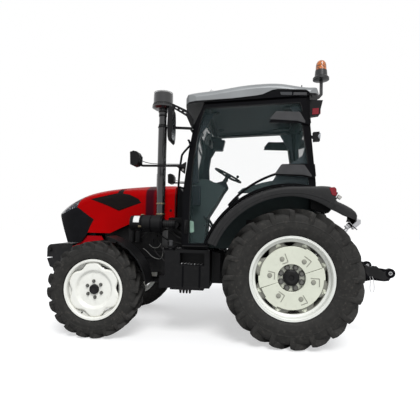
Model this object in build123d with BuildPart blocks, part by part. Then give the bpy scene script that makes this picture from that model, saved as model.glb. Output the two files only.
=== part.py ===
"""Farm tractor with a closed cab, four driven wheels and a rear three-point hitch.

Units are millimetres.  +X points to the rear, +Y to the tractor's right, +Z up.
The origin is on the ground under the middle of the overall length.
"""
import os
from math import atan2, cos, degrees, pi, radians, sin, sqrt, tan

from build123d import *

os.makedirs("parts", exist_ok=True)

# ---------------------------------------------------------------- driving dimensions
REAR_AXLE_X = 950.0
WHEELBASE = 2210.0
FRONT_AXLE_X = REAR_AXLE_X - WHEELBASE
FRONT_END_X = -2185.0

REAR_TYRE_R = 755.0
REAR_TYRE_W = 380.0
REAR_TRACK_Y = 770.0
REAR_SEAT_R = 432.0
REAR_FLANGE_R = 457.0
REAR_HUB_R = 84.0
REAR_DISC_Y = 836.0

FRONT_TYRE_R = 547.0
FRONT_TYRE_W = 280.0
FRONT_TRACK_Y = 790.0
FRONT_SEAT_R = 322.0
FRONT_FLANGE_R = 345.0
FRONT_HUB_R = 52.0
FRONT_DISC_Y = 884.0

KINGPIN_Y = 680.0
STEER_ARM = 180.0
CYLINDER_ARM = 150.0
GUARD_R = 628.0

FENDER_R = 990.0
FENDER_SKIRT_R = 880.0
FENDER_IN_Y = 560.0
FENDER_OUT_Y = 952.0
FENDER_SHEET = 14.0

HOOD_REAR_X = -440.0
HOOD_SHEET = 14.0

CAB_SIDE_Y = 725.0
CAB_POST_T = 48.0
FLOOR_Z = 1060.0
DECK_Z = 1400.0
DECK_X = 450.0
FLOOR_FRONT_X = -266.0
DOOR_IN_Y = 731.0
DOOR_T = 26.0
GLASS_T = 6.0

LINK_PIVOT = (1080.0, 500.0)
LIFT_PIVOT = (1150.0, 1100.0)
LIFT_ARM = 400.0
LIFT_ANGLE = 15.0
LINK_END = (2130.0, 787.0)
LINK_PIVOT_Y = 250.0
LINK_END_Y = 410.0

RUNNING = 0.05
SIDES = {"left": -1, "right": 1}


# ---------------------------------------------------------------- helpers
def side_plane(y):
    """Upright plane at y, facing the left: local x is rearward and local y is up."""
    return Plane.XZ.offset(-y)


def front_plane(x):
    """Upright plane across the tractor at x: local x is +Y and local y is up."""
    return Plane.YZ.offset(x)


def on_circle(centre, radius, angle):
    """Point on a circle, with the angle in degrees from local x."""
    return (centre[0] + radius * cos(radians(angle)), centre[1] + radius * sin(radians(angle)))


def keep(piece, name):
    """Label a finished piece and write it."""
    piece.part.label = name
    export_step(piece.part, f"parts/{name}.step")


def axle_axis(x, z):
    """Axis across the tractor through x and z."""
    return Axis((x, 0, z), (0, 1, 0))


REAR_CENTRE = (REAR_AXLE_X, REAR_TYRE_R)
FRONT_CENTRE = (FRONT_AXLE_X, FRONT_TYRE_R)


# ---------------------------------------------------------------- wheels
TYRE_FACETS = 28
TYRE_LUG_SHARE = 0.057
REAR_LUGS = 22
FRONT_LUGS = 21


def axle_plane(x, z, y):
    """Plane across the axle at y: local x points down and the normal to the tractor's right."""
    return Plane(origin=(x, y, z), x_dir=(0, 0, -1), z_dir=(0, 1, 0))


def tyre_form(tyre_r, seat_r, flange_r, width, lugs):
    """Flat-faced tyre about its own axle: a ring of straight sectors with two rows of lugs fused on."""
    half = width / 2
    bead = 0.76 * half
    lug_h = TYRE_LUG_SHARE * tyre_r
    wall = tyre_r - seat_r
    # right half of the section, from bead to shoulder: radius, width
    section = [(seat_r, bead), (flange_r + 2, bead), (seat_r + 0.42 * wall, half), (seat_r + 0.64 * wall, 0.97 * half),
               (tyre_r - lug_h - 8, 0.80 * half)]
    far = 1.1 * tyre_r
    slope = tan(pi / TYRE_FACETS)
    with BuildPart() as sector:
        with BuildSketch(Plane.XZ):
            Polygon(*section, *[(r, -w) for r, w in reversed(section)], align=None)
        extrude(amount=far * slope, both=True)
        with BuildSketch(Plane.XY.offset(-width)):
            Polygon((0, 0), (far, far * slope), (far, -far * slope), align=None)
        extrude(amount=2 * width, mode=Mode.INTERSECT)
    # plan of one lug: round the tread, across it
    pitch = 2 * pi * tyre_r / lugs
    with BuildPart() as lug:
        with BuildSketch(Plane.YZ.offset(0.8 * tyre_r)):
            Polygon((-0.13 * pitch, 0), (0.13 * pitch, 0), (0.68 * pitch, 0.95 * half), (0.44 * pitch, 0.95 * half),
                    align=None)
        extrude(amount=0.3 * tyre_r)
    with BuildPart() as envelope:
        for w, drop in [(-0.96 * half, 0.55 * lug_h), (0, 0), (0.96 * half, 0.55 * lug_h)]:
            with BuildSketch(Plane.XY.offset(w)):
                RegularPolygon(tyre_r - drop, 2 * lugs, major_radius=False, rotation=90 / lugs)
        loft(ruled=True)
    with BuildPart() as lug_rows:
        with PolarLocations(0, lugs):
            add(lug.part)
        with PolarLocations(0, lugs, start_angle=180 / lugs):
            add(mirror(lug.part, about=Plane.XY, mode=Mode.PRIVATE))
        add(envelope.part, mode=Mode.INTERSECT)
    with BuildPart() as tyre:
        with PolarLocations(0, TYRE_FACETS):
            add(sector.part)
        add(lug_rows.part)
    return tyre.part


rear_tyre = tyre_form(REAR_TYRE_R, REAR_SEAT_R, REAR_FLANGE_R, REAR_TYRE_W, REAR_LUGS)
front_tyre = tyre_form(FRONT_TYRE_R, FRONT_SEAT_R, FRONT_FLANGE_R, FRONT_TYRE_W, FRONT_LUGS)
for side_name, side in SIDES.items():
    for end, form, x, r, y in [("rear", rear_tyre, REAR_AXLE_X, REAR_TYRE_R, REAR_TRACK_Y),
                               ("front", front_tyre, FRONT_AXLE_X, FRONT_TYRE_R, FRONT_TRACK_Y)]:
        with BuildPart(axle_plane(x, r, side * y)) as placed_tyre:
            add(form)
        keep(placed_tyre, f"tyre_{end}_{side_name}")


WEIGHT_SEAM_ANGLE = 20.0
WEIGHT_BORE_R = 160.0
POCKET_R = 224.0


def wheel_weights(side, face, centre, radius):
    """Two half discs bolted on the wheel, each bolt in a pocket beside an angled rib."""
    with BuildPart() as weights:
        for offset, height, r in [(0, 30, radius), (30, 10, radius - 9)]:
            with BuildSketch(side_plane(face + side * offset)):
                with Locations(centre):
                    Circle(r)
                    Circle(WEIGHT_BORE_R, mode=Mode.SUBTRACT)
                    Rectangle(2 * r, 5, rotation=WEIGHT_SEAM_ANGLE, mode=Mode.SUBTRACT)
                    with PolarLocations(radius, 8, start_angle=WEIGHT_SEAM_ANGLE):
                        Rectangle(30, 84, mode=Mode.SUBTRACT)
            extrude(amount=-side * height)
        with BuildSketch(side_plane(face + side * 40)):
            with Locations(centre):
                with PolarLocations(POCKET_R, 6, start_angle=7):
                    Circle(19)
        extrude(amount=side * 14, mode=Mode.SUBTRACT)
        with BuildSketch(side_plane(face + side * 40)):
            with Locations(centre):
                with PolarLocations(POCKET_R, 6, start_angle=7):
                    with Locations(Location((30, 0, 0), (0, 0, -38))):
                        Rectangle(9, 62)
                        with Locations((-27, 27)):
                            Rectangle(54, 9)
        extrude(amount=-side * 6)
    return weights.part


def make_rim(name, side, axle_x, tyre_r, seat_r, flange_r, track_y, width, disc_y, hub_r, dish_r, dish_depth,
             edge_r, windows, weight_r):
    """Wheel rim with its flanges, well and dished disc; a weight_r above 0 adds split wheel weights.

    windows holds the count, first angle, radius, length and width of the gaps between the disc's tabs.
    """
    mid = side * track_y
    bead = 0.76 * width / 2
    sheet = 10.0
    well_r = seat_r - 34
    out = 1 if side > 0 else -1
    face = side * disc_y
    back = face - out * 14
    with BuildPart() as rim:
        # barrel: outer flange, bead seats and well as one bent sheet
        with BuildSketch(front_plane(axle_x)):
            with BuildLine():
                Polyline(*[(mid + dy, tyre_r + r) for dy, r in [
                    (-bead - 14, flange_r), (-bead, flange_r), (-bead, seat_r),
                    (-bead + 46, seat_r - 6), (-bead + 66, well_r), (bead - 66, well_r),
                    (bead - 46, seat_r - 6), (bead, seat_r), (bead, flange_r), (bead + 14, flange_r),
                    (bead + 14, seat_r - sheet), (bead - 46, seat_r - 6 - sheet),
                    (bead - 62, well_r - sheet), (-bead + 62, well_r - sheet),
                    (-bead + 46, seat_r - 6 - sheet), (-bead - 14, seat_r - sheet)]], close=True)
            make_face()
        revolve(axis=axle_axis(axle_x, tyre_r))
        # disc: flat centre with its bore, dished out to the barrel
        with BuildSketch(front_plane(axle_x)):
            with BuildLine():
                Polyline((face - out * dish_depth, tyre_r + hub_r), (face - out * dish_depth, tyre_r + dish_r),
                         (face, tyre_r + dish_r + dish_depth), (face, tyre_r + seat_r - 70),
                         (face - out * 8, tyre_r + edge_r),
                         (back - out * 8, tyre_r + edge_r), (back, tyre_r + seat_r - 80),
                         (back, tyre_r + dish_r + dish_depth - 6), (back - out * dish_depth, tyre_r + dish_r - 6),
                         (back - out * dish_depth, tyre_r + hub_r), close=True)
            make_face()
        revolve(axis=axle_axis(axle_x, tyre_r))
        count, first, radius, long, wide = windows
        with BuildSketch(side_plane(face)):
            with Locations((axle_x, tyre_r)):
                with PolarLocations(radius, count, start_angle=first):
                    SlotOverall(long, wide, rotation=90)
        extrude(amount=side * 40, mode=Mode.SUBTRACT)
        if weight_r:
            add(wheel_weights(side, face, (axle_x, tyre_r), weight_r))
    keep(rim, name)


for side_name, side in SIDES.items():
    make_rim(f"rim_rear_{side_name}", side, REAR_AXLE_X, REAR_TYRE_R, REAR_SEAT_R, REAR_FLANGE_R,
             REAR_TRACK_Y, REAR_TYRE_W, REAR_DISC_Y, REAR_HUB_R, 150.0, 30.0, 392.0, (8, 2.5, 365, 116, 34), 342.0)
    make_rim(f"rim_front_{side_name}", side, FRONT_AXLE_X, FRONT_TYRE_R, FRONT_SEAT_R, FRONT_FLANGE_R,
             FRONT_TRACK_Y, FRONT_TYRE_W, FRONT_DISC_Y, FRONT_HUB_R, 170.0, 22.0, 314.0, (6, 5, 284, 92, 30), 0)


# ---------------------------------------------------------------- chassis, from the front back
WEIGHT_COUNT = 8
WEIGHT_T = 64.0
WEIGHT_PITCH = 70.0
CARRIER_X = -1830.0

with BuildPart() as front_weights:
    first = -(WEIGHT_COUNT - 1) / 2 * WEIGHT_PITCH
    for i in range(WEIGHT_COUNT):
        with BuildSketch(side_plane(first + i * WEIGHT_PITCH + WEIGHT_T / 2)):
            with BuildLine():
                Polyline((-2105, 815), (FRONT_END_X, 815), (-2142, 706))
                Line((-2142, 706), (-2098, 688))
                Line((-2098, 688), (CARRIER_X, 688))
                Line((CARRIER_X, 688), (CARRIER_X, 1018))
                Line((CARRIER_X, 1018), (-2119, 1004))
                ThreePointArc((-2119, 1004), (-2168, 982), (FRONT_END_X, 940))
                Polyline((FRONT_END_X, 940), (FRONT_END_X, 833), (-2105, 833), (-2105, 815))
            make_face()
        extrude(amount=WEIGHT_T)
keep(front_weights, "front_weights")

BOLSTER_HALF_W = 200.0
TRUNNION_Z = 655.0
TRUNNION_R = 25.0
with BuildPart() as front_frame:
    # weight carrier, bolster and the two rails that run back to the engine
    with BuildSketch(side_plane(BOLSTER_HALF_W)):
        Polygon((CARRIER_X, 730), (CARRIER_X, 960), (-1700, 1010), (-1420, 1010), (-1240, 930), (-1020, 930),
                (-1020, 705), (-1560, 705), (-1700, 730), align=None)
    extrude(amount=2 * BOLSTER_HALF_W)
    with BuildSketch(front_plane(CARRIER_X)):
        with Locations((0, 900)):
            Rectangle(560, 100)
    extrude(amount=60)
    # hangers and pin of the axle's swing bearing
    for x in (-1378, -1172):
        with BuildSketch(front_plane(x)):
            with Locations((0, TRUNNION_Z)):
                Circle(48)
            with Locations((0, TRUNNION_Z + 35)):
                Rectangle(96, 70)
        extrude(amount=30)
    with BuildSketch(front_plane(-1378)):
        with Locations((0, TRUNNION_Z)):
            Circle(TRUNNION_R)
    extrude(amount=236)
keep(front_frame, "front_frame")

BEAM_HALF = 595.0
EAR_Z = 86.0
with BuildPart() as front_axle:
    # tapered beam, differential housing and swing boss
    for side in (-1, 1):
        with BuildSketch(Plane.XZ.offset(0)):
            with Locations(FRONT_CENTRE):
                Rectangle(120, 130)
        with BuildSketch(Plane.XZ.offset(side * BEAM_HALF)):
            with Locations(FRONT_CENTRE):
                Rectangle(120, 100)
        loft()
    with BuildSketch(Plane.XZ.offset(-150)):
        with Locations(FRONT_CENTRE):
            Circle(104)
    extrude(amount=230)
    with BuildSketch(front_plane(FRONT_AXLE_X)):
        with Locations((0, FRONT_TYRE_R)):
            Circle(55)
    extrude(amount=160)
    with BuildSketch(front_plane(FRONT_AXLE_X - 85)):
        with Locations((0, TRUNNION_Z - 50)):
            Rectangle(84, 110)
        with Locations((0, TRUNNION_Z)):
            Circle(42)
    extrude(amount=170)
    with BuildSketch(front_plane(FRONT_AXLE_X - 85)):
        with Locations((0, TRUNNION_Z)):
            Circle(TRUNNION_R + RUNNING)
    extrude(amount=170, mode=Mode.SUBTRACT)
    # forks that hold the kingpins
    for side in (-1, 1):
        with BuildSketch(Plane.XZ.offset(-side * (BEAM_HALF - 40))):
            with Locations(FRONT_CENTRE):
                Rectangle(100, 2 * (EAR_Z + 30))
        extrude(amount=-side * 40)
        for z in (FRONT_TYRE_R + EAR_Z, FRONT_TYRE_R - EAR_Z - 30):
            with BuildSketch(Plane.XY.offset(z)):
                with Locations((FRONT_AXLE_X, side * (BEAM_HALF + KINGPIN_Y) / 2)):
                    Rectangle(100, KINGPIN_Y - BEAM_HALF)
                with Locations((FRONT_AXLE_X, side * KINGPIN_Y)):
                    Circle(50)
                    Circle(20 + RUNNING, mode=Mode.SUBTRACT)
            extrude(amount=30)
keep(front_axle, "front_axle")

CYLINDER_X = FRONT_AXLE_X - CYLINDER_ARM
CYLINDER_Z = 500.0
with BuildPart() as steering_cylinder:
    with BuildSketch(Plane.XZ.offset(-150)):
        with Locations((CYLINDER_X, CYLINDER_Z)):
            Circle(32)
            Circle(14 + RUNNING, mode=Mode.SUBTRACT)
    extrude(amount=-300)
    # clamps on the front of the axle beam
    for y in (190, 380):
        with BuildSketch(Plane.XZ.offset(-y)):
            with Locations(((CYLINDER_X + 24 + FRONT_AXLE_X - 60) / 2, CYLINDER_Z + 10)):
                Rectangle(FRONT_AXLE_X - 60 - CYLINDER_X - 24, 24)
        extrude(amount=-30)
keep(steering_cylinder, "steering_cylinder")

with BuildPart() as engine:
    # sump, block, head cover and radiator as one plain mass
    with BuildSketch(side_plane(210)):
        Polygon((-1420, 1010), (-1420, 1420), (-1340, 1500), (-800, 1500), (-720, 1420), (-640, 1420), (-640, 680),
                (-1000, 640), (-1020, 640), (-1020, 930), (-1240, 930), align=None)
    extrude(amount=420)
    with BuildSketch(front_plane(-1640)):
        with Locations((0, 1255)):
            Rectangle(520, 490)
    extrude(amount=110)
    with BuildSketch(front_plane(-1540)):
        with Locations((0, 1260)):
            Circle(190)
    extrude(amount=130)
    # manifold, pump and two upright filters on each side
    for side in (-1, 1):
        with BuildSketch(Plane.XZ.offset(-side * 209)):
            with Locations((-1120, 1300)):
                RectangleRounded(420, 60, 25)
            with Locations((-1300, 1080)):
                Circle(62)
        extrude(amount=-side * 55)
        for x in (-1045, -950):
            with BuildSketch(Plane.XY.offset(1060)):
                with Locations((x, side * 245)):
                    Circle(42)
            extrude(amount=150)
            with BuildSketch(Plane.XY.offset(1205)):
                with Locations((x, side * 230)):
                    Rectangle(70, 90)
            extrude(amount=40)
keep(engine, "engine")

with BuildPart() as gearbox:
    # clutch housing and gearbox, waisted between engine and rear axle
    with BuildSketch(front_plane(-640)):
        with Locations((0, 800)):
            Rectangle(420, 400)
    with BuildSketch(front_plane(-380)):
        with Locations((0, 760)):
            Rectangle(330, 420)
    loft()
    with BuildSketch(front_plane(-380)):
        with Locations((0, 760)):
            Rectangle(330, 420)
    extrude(amount=1080)
    # shaft to the front axle, inside its tube
    with BuildSketch(front_plane(FRONT_AXLE_X + 160)):
        with Locations((0, FRONT_TYRE_R)):
            Circle(38)
    extrude(amount=760)
    with BuildSketch(front_plane(-360)):
        with Locations((0, FRONT_TYRE_R + 10)):
            Rectangle(150, 160)
    extrude(amount=220)
    # cross member of the front cab mounts
    with BuildSketch(front_plane(-230)):
        with Locations((0, FLOOR_Z - 60)):
            Rectangle(820, 60)
    extrude(amount=80)
keep(gearbox, "gearbox")

TRUMPET_END = 640.0
TOP_LINK_START = (1300.0, 905.0)
TOP_LINK_END = (1865.0, 1385.0)
with BuildPart() as rear_axle:
    # centre housing
    with BuildSketch(side_plane(220)):
        Polygon((700, 475), (700, 1020), (1180, 1050), (1260, 980), (1260, 560), (1180, 475), align=None)
    extrude(amount=440)
    # trumpets, brake rings and axle shafts
    for side in (-1, 1):
        with BuildSketch(Plane.XZ.offset(-side * 200)):
            with Locations(REAR_CENTRE):
                Circle(170)
        with BuildSketch(Plane.XZ.offset(-side * 480)):
            with Locations(REAR_CENTRE):
                Circle(118)
        loft()
        with BuildSketch(Plane.XZ.offset(-side * 470)):
            with Locations(REAR_CENTRE):
                Circle(150)
        extrude(amount=-side * (TRUMPET_END - 470))
        with BuildSketch(Plane.XZ.offset(-side * (TRUMPET_END - 10))):
            with Locations(REAR_CENTRE):
                Circle(REAR_HUB_R - RUNNING)
        extrude(amount=-side * (REAR_DISC_Y + 6 - TRUMPET_END + 10))
        # pivot blocks of the lower links
        with BuildSketch(Plane.XZ.offset(-side * 212)):
            with Locations(LINK_PIVOT):
                Circle(55)
            with Locations((LINK_PIVOT[0], LINK_PIVOT[1] + 60)):
                Rectangle(110, 120)
        extrude(amount=-side * 22)
        with BuildSketch(Plane.XZ.offset(-side * 212)):
            with Locations(LINK_PIVOT):
                Circle(18)
        extrude(amount=-side * 76)
        # lift shaft of the hitch
        with BuildSketch(Plane.XZ.offset(-side * 180)):
            with Locations(LIFT_PIVOT):
                Circle(42)
        extrude(amount=-side * 150)
    with BuildSketch(side_plane(200)):
        Polygon((900, 1000), (930, 1150), (1080, 1190), (1200, 1160), (1230, 1000), align=None)
    extrude(amount=400)
    # rear cab mounts and the ears of the top link
    for side in (-1, 1):
        with BuildSketch(Plane.XY.offset(REAR_TYRE_R + 90)):
            with Locations((REAR_AXLE_X, side * 440)):
                Rectangle(70, 60)
        extrude(amount=DECK_Z - 25 - REAR_TYRE_R - 90)
        with BuildSketch(Plane.XZ.offset(-side * 28)):
            Polygon((1250, 860), (1250, 950), (1300, 937), (1330, 905), (1300, 873), align=None)
        extrude(amount=-side * 14)
    with BuildSketch(side_plane(40)):
        with Locations(TOP_LINK_START):
            Circle(12.7)
    extrude(amount=80)
keep(rear_axle, "rear_axle")

PTO_Z = 640.0
with BuildPart() as pto:
    with BuildSketch(front_plane(1260)):
        with Locations((0, PTO_Z)):
            Circle(17.5)
    extrude(amount=110)
    # shield over the shaft
    with BuildSketch(front_plane(1260)):
        with Locations((0, PTO_Z + 10)):
            Rectangle(190, 190)
            with Locations((0, -20)):
                Rectangle(170, 210, mode=Mode.SUBTRACT)
    extrude(amount=150)
keep(pto, "pto")

DRAWBAR_Z = 415.0
with BuildPart() as drawbar:
    with BuildSketch(Plane.XY.offset(DRAWBAR_Z - 16)):
        with Locations((1200, 0)):
            Rectangle(760, 80)
        with Locations((1580, 0)):
            Circle(40)
            Circle(16.5, mode=Mode.SUBTRACT)
    extrude(amount=32)
    for x in (880, 1110):
        with BuildSketch(front_plane(x)):
            with Locations((0, (DRAWBAR_Z + 16 + 475) / 2)):
                Rectangle(180, 475 - DRAWBAR_Z - 16)
        extrude(amount=60)
keep(drawbar, "drawbar")

top_link_angle = degrees(atan2(TOP_LINK_END[1] - TOP_LINK_START[1], TOP_LINK_END[0] - TOP_LINK_START[0]))
top_link_length = sqrt((TOP_LINK_END[0] - TOP_LINK_START[0]) ** 2 + (TOP_LINK_END[1] - TOP_LINK_START[1]) ** 2)
along = Vector(cos(radians(top_link_angle)), 0, sin(radians(top_link_angle)))
with BuildPart() as top_link:
    start = Vector(TOP_LINK_START[0], 0, TOP_LINK_START[1])
    with BuildSketch(Plane(origin=start + along * 24, z_dir=along)):
        Circle(14)
    extrude(amount=top_link_length - 50)
    with BuildSketch(side_plane(26)):
        with Locations(TOP_LINK_START):
            Circle(34)
            Circle(12.7 + RUNNING, mode=Mode.SUBTRACT)
    extrude(amount=52)
    with BuildSketch(Plane(origin=start + along * 90, z_dir=along)):
        Circle(24)
    extrude(amount=top_link_length - 250)
    with BuildSketch(side_plane(30)):
        with Locations(TOP_LINK_END):
            Circle(42)
            Circle(12.8, mode=Mode.SUBTRACT)
    extrude(amount=60)
keep(top_link, "top_link")


# ---------------------------------------------------------------- side pieces
TANK_IN_Y = -440.0
TANK_OUT_Y = -800.0
with BuildPart() as fuel_tank:
    with BuildSketch(side_plane(TANK_IN_Y)):
        Polygon((-525, 578), (-525, 714), (-462, 714), (-466, 1005), (-334, 1008), (-334, 1020), (49, 1020),
                (52, 593), (-334, 590), align=None)
    extrude(amount=TANK_IN_Y - TANK_OUT_Y)
    # step cut into the outer face
    with BuildSketch(side_plane(TANK_OUT_Y + 130)):
        Polygon((-291, 862), (-291, 985), (-10, 985), (-10, 848), align=None)
    extrude(amount=130, mode=Mode.SUBTRACT)
    # filler neck
    with BuildSketch(Plane.XY.offset(1000)):
        with Locations((-404, -700)):
            Circle(34)
    extrude(amount=50)
    # straps to the gearbox
    for x in (-300, -20):
        with BuildSketch(front_plane(x)):
            with Locations(((TANK_IN_Y - 165) / 2, 700)):
                Rectangle(-TANK_IN_Y - 165, 60)
        extrude(amount=40)
keep(fuel_tank, "fuel_tank")

with BuildPart() as battery_box:
    with BuildSketch(side_plane(800)):
        Polygon((-440, 640), (-440, 1010), (49, 1010), (49, 640), align=None)
    extrude(amount=360)
    with BuildSketch(side_plane(800)):
        Polygon((-291, 862), (-291, 985), (-10, 985), (-10, 848), align=None)
    extrude(amount=130, mode=Mode.SUBTRACT)
    for x in (-300, -20):
        with BuildSketch(front_plane(x)):
            with Locations(((440 + 165) / 2, 700)):
                Rectangle(440 - 165, 60)
        extrude(amount=40)
keep(battery_box, "battery_box")

CANISTER_Y = -520.0
CANISTER_Z = 1308.0
with BuildPart() as air_filter:
    # end cap, body and outlet elbow, then the bracket to the engine
    for x, length, r in [(-955, 130, 92), (-829, 271, 103), (-560, 150, 46)]:
        with BuildSketch(front_plane(x)):
            with Locations((CANISTER_Y, CANISTER_Z)):
                Circle(r)
        extrude(amount=length)
    with BuildSketch(Plane.XZ.offset(-CANISTER_Y)):
        with Locations((-407, CANISTER_Z - 10)):
            Circle(38)
    extrude(amount=CANISTER_Y + 330)
    for x in (-800, -620):
        with BuildSketch(front_plane(x)):
            with Locations(((CANISTER_Y + 40 - 210) / 2, CANISTER_Z - 60)):
                Rectangle(-CANISTER_Y - 40 - 210, 40)
        extrude(amount=30)
keep(air_filter, "air_filter")

STACK_X = -608.0
STACK_Y = -470.0
with BuildPart() as intake_stack:
    # riser pipe, neck, funnel and pre-cleaner bowl, from the bottom up
    for z, height, r in [(1380, 1135, 54), (2515, 160, 47), (2660, 100, 52)]:
        with BuildSketch(Plane.XY.offset(z)):
            with Locations((STACK_X, STACK_Y)):
                Circle(r)
        extrude(amount=height)
    with BuildSketch(front_plane(STACK_X)):
        with BuildLine():
            Polyline((STACK_Y, 2722), (STACK_Y + 100, 2730), (STACK_Y + 136, 2750), (STACK_Y + 136, 2772),
                     (STACK_Y + 122, 2784), (STACK_Y + 120, 2915), (STACK_Y + 112, 2930), (STACK_Y + 80, 2938),
                     (STACK_Y, 2940), close=True)
        make_face()
    revolve(axis=Axis((STACK_X, STACK_Y, 0), (0, 0, 1)))
    # saddle where the riser stands on the filter's body
    with BuildSketch(front_plane(STACK_X - 100)):
        with Locations((CANISTER_Y, CANISTER_Z)):
            Circle(103)
    extrude(amount=200, mode=Mode.SUBTRACT)
keep(intake_stack, "intake_stack")

EXHAUST_X = -845.0
EXHAUST_Y = 440.0
with BuildPart() as exhaust_stack:
    for z, height, r in [(1180, 1300, 32), (1420, 620, 58)]:
        with BuildSketch(Plane.XY.offset(z)):
            with Locations((EXHAUST_X, EXHAUST_Y)):
                Circle(r)
        extrude(amount=height)
    with BuildSketch(Plane.XZ.offset(-EXHAUST_Y)):
        with Locations((EXHAUST_X, 1212)):
            Circle(32)
    extrude(amount=EXHAUST_Y - 210)
keep(exhaust_stack, "exhaust_stack")


# ---------------------------------------------------------------- hood
# one row for each section: x, half width, height where the crown starts, crown, corner radius
HOOD_SECTIONS = [
    (HOOD_REAR_X, 350, 1770, 45, 95),
    (-1150, 350, 1740, 42, 100),
    (-1650, 338, 1650, 48, 110),
    (-1900, 300, 1540, 52, 110),
    (-2070, 215, 1412, 38, 80),
]
HOOD_FRONT = [(-2068, 1452), (-2031, 1400), (-1996, 1300), (-1949, 1180), (-1891, 1036)]
HOOD_UNDER = [
    (-1700, 1036), (-1619, 1136), (-1603, 1170), (-1300, 1170), (-1124, 1255), (-1022, 1300), (-958, 1402),
    (-640, 1402), (-560, 1350), (-444, 1345),
]
NOSE_REAR = [(-1700, 1000), (-1700, 1036), (-1619, 1136), (-1603, 1170), (-1562, 1267), (-1522, 1343), (-1622, 1408),
             (-1735, 1488)]
LAMP_LOWER = [(-1760, 1498), (-1856, 1466), (-1956, 1420), (-2200, 1380)]
LAMP_REAR = [(-1745, 1545), (-1693, 1660), (-1693, 1900)]
NOSE_WALL = 28.0
STRIP_HALF_W = 60.0
VENT = [(-1583, 1607), (-1212, 1692), (-1048, 1673), (-927, 1617), (-890, 1567), (-1188, 1461), (-1322, 1518),
        (-1416, 1553)]
VENT_NECK = [(-1212, 1690), (-1200, 1850), (-1130, 1850), (-1138, 1680)]
VENT_DEPTH = 4.0
VENT_IN_Y = 190.0
NOSE_SLOTS = [(z, 150 + 0.12 * (z - 1090)) for z in range(1090, 1390, 34)]
HOOD_PIN_X = -450.0
HOOD_PIN_Z = 1795.0


def hood_blank(inset):
    """Solid form of the hood lofted through its sections, drawn in by the inset."""
    with BuildPart() as blank:
        for x, half_w, z, crown, corner in HOOD_SECTIONS:
            w = half_w - inset
            top = z - inset
            rear = 60 if x == HOOD_REAR_X and inset else 0
            with BuildSketch(front_plane(x + rear)):
                with BuildLine():
                    Polyline((-w, top - corner), (-w, 900), (w, 900), (w, top - corner))
                    RadiusArc((w, top - corner), (w - corner, top), -corner)
                    ThreePointArc((w - corner, top), (0, top + crown), (-w + corner, top))
                    RadiusArc((-w + corner, top), (-w, top - corner), -corner)
                make_face()
        loft()
    return blank.part


with BuildPart() as hood_cavity:
    add(hood_blank(HOOD_SHEET))
    with BuildSketch(side_plane(500)):
        Polygon(*[(x + NOSE_WALL, z) for x, z in HOOD_FRONT], (-1863, 800), (-300, 800), (-300, 1900), (-2040, 1900),
                align=None)
    extrude(amount=1000, mode=Mode.INTERSECT)

with BuildPart() as hood_form:
    add(hood_blank(0))
    with BuildSketch(side_plane(500)):
        Polygon(*HOOD_FRONT, *HOOD_UNDER, (HOOD_REAR_X, 1900), (-2068, 1900), align=None)
    extrude(amount=1000, mode=Mode.INTERSECT)
    add(hood_cavity.part, mode=Mode.SUBTRACT)

with BuildPart() as nose_zone:
    with BuildSketch(side_plane(500)):
        Polygon(*NOSE_REAR, *LAMP_LOWER, (-2200, 1000), align=None)
    extrude(amount=1000)

with BuildPart() as lamp_zone:
    for side in (-1, 1):
        with BuildSketch(Plane.XZ.offset(-side * STRIP_HALF_W)):
            Polygon(*LAMP_REAR, (-2200, 1900), *LAMP_LOWER[::-1], align=None)
        extrude(amount=-side * 400)

with BuildPart() as vent_zone:
    for side in (-1, 1):
        with BuildSketch(Plane.XZ.offset(-side * VENT_IN_Y)):
            Polygon(*VENT, align=None)
            Polygon(*VENT_NECK, align=None)
        extrude(amount=-side * 300)

with BuildPart() as hood_shell:
    add(hood_form.part)
    add(nose_zone.part, mode=Mode.SUBTRACT)
    add(lamp_zone.part, mode=Mode.SUBTRACT)
    add(vent_zone.part, mode=Mode.SUBTRACT)
    # hinge pin under the rear edge
    with BuildSketch(side_plane(150)):
        with Locations((HOOD_PIN_X, HOOD_PIN_Z)):
            Circle(12)
    extrude(amount=300)
keep(hood_shell, "hood_shell")

with BuildPart() as vent_panels:
    add(hood_blank(VENT_DEPTH))
    add(hood_cavity.part, mode=Mode.SUBTRACT)
    add(vent_zone.part, mode=Mode.INTERSECT)
    with BuildSketch(side_plane(500)):
        with Locations(*[(x, 1545 + 0.12 * (x + 1400)) for x in range(-1360, -980, 60)]):
            SlotOverall(70, 12, rotation=70)
    extrude(amount=1000, mode=Mode.SUBTRACT)

with BuildPart() as hood_grille:
    add(hood_form.part)
    add(nose_zone.part, mode=Mode.INTERSECT)
    # air slots across the nose
    for z, half_w in NOSE_SLOTS:
        with BuildSketch(front_plane(-2200)):
            with Locations((0, z)):
                SlotOverall(2 * half_w, 16)
        extrude(amount=300, mode=Mode.SUBTRACT)
    add(vent_panels.part)
keep(hood_grille, "hood_grille")

with BuildPart() as headlamps:
    add(hood_form.part)
    add(lamp_zone.part, mode=Mode.INTERSECT)
keep(headlamps, "headlamps")

with BuildPart() as side_covers:
    # red panels low on each side, with the brackets that hold them to the bolster
    for side in (-1, 1):
        with BuildSketch(Plane.XZ.offset(-side * 296)):
            Polygon((-1616, 1130), (-1425, 1130), (-1400, 1078), (-1650, 1040), (-1817, 965), (-1817, 985),
                    (-1714, 1024), (-1676, 1052), align=None)
        extrude(amount=-side * 16)
        with BuildSketch(Plane.XZ.offset(-side * BOLSTER_HALF_W)):
            with Locations((-1560, 990)):
                Rectangle(60, 40)
        extrude(amount=-side * (296 - BOLSTER_HALF_W))
        with BuildSketch(Plane.XZ.offset(-side * 286)):
            with Locations((-1560, 1030)):
                Rectangle(60, 120)
        extrude(amount=-side * 10)
keep(side_covers, "side_covers")


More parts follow.
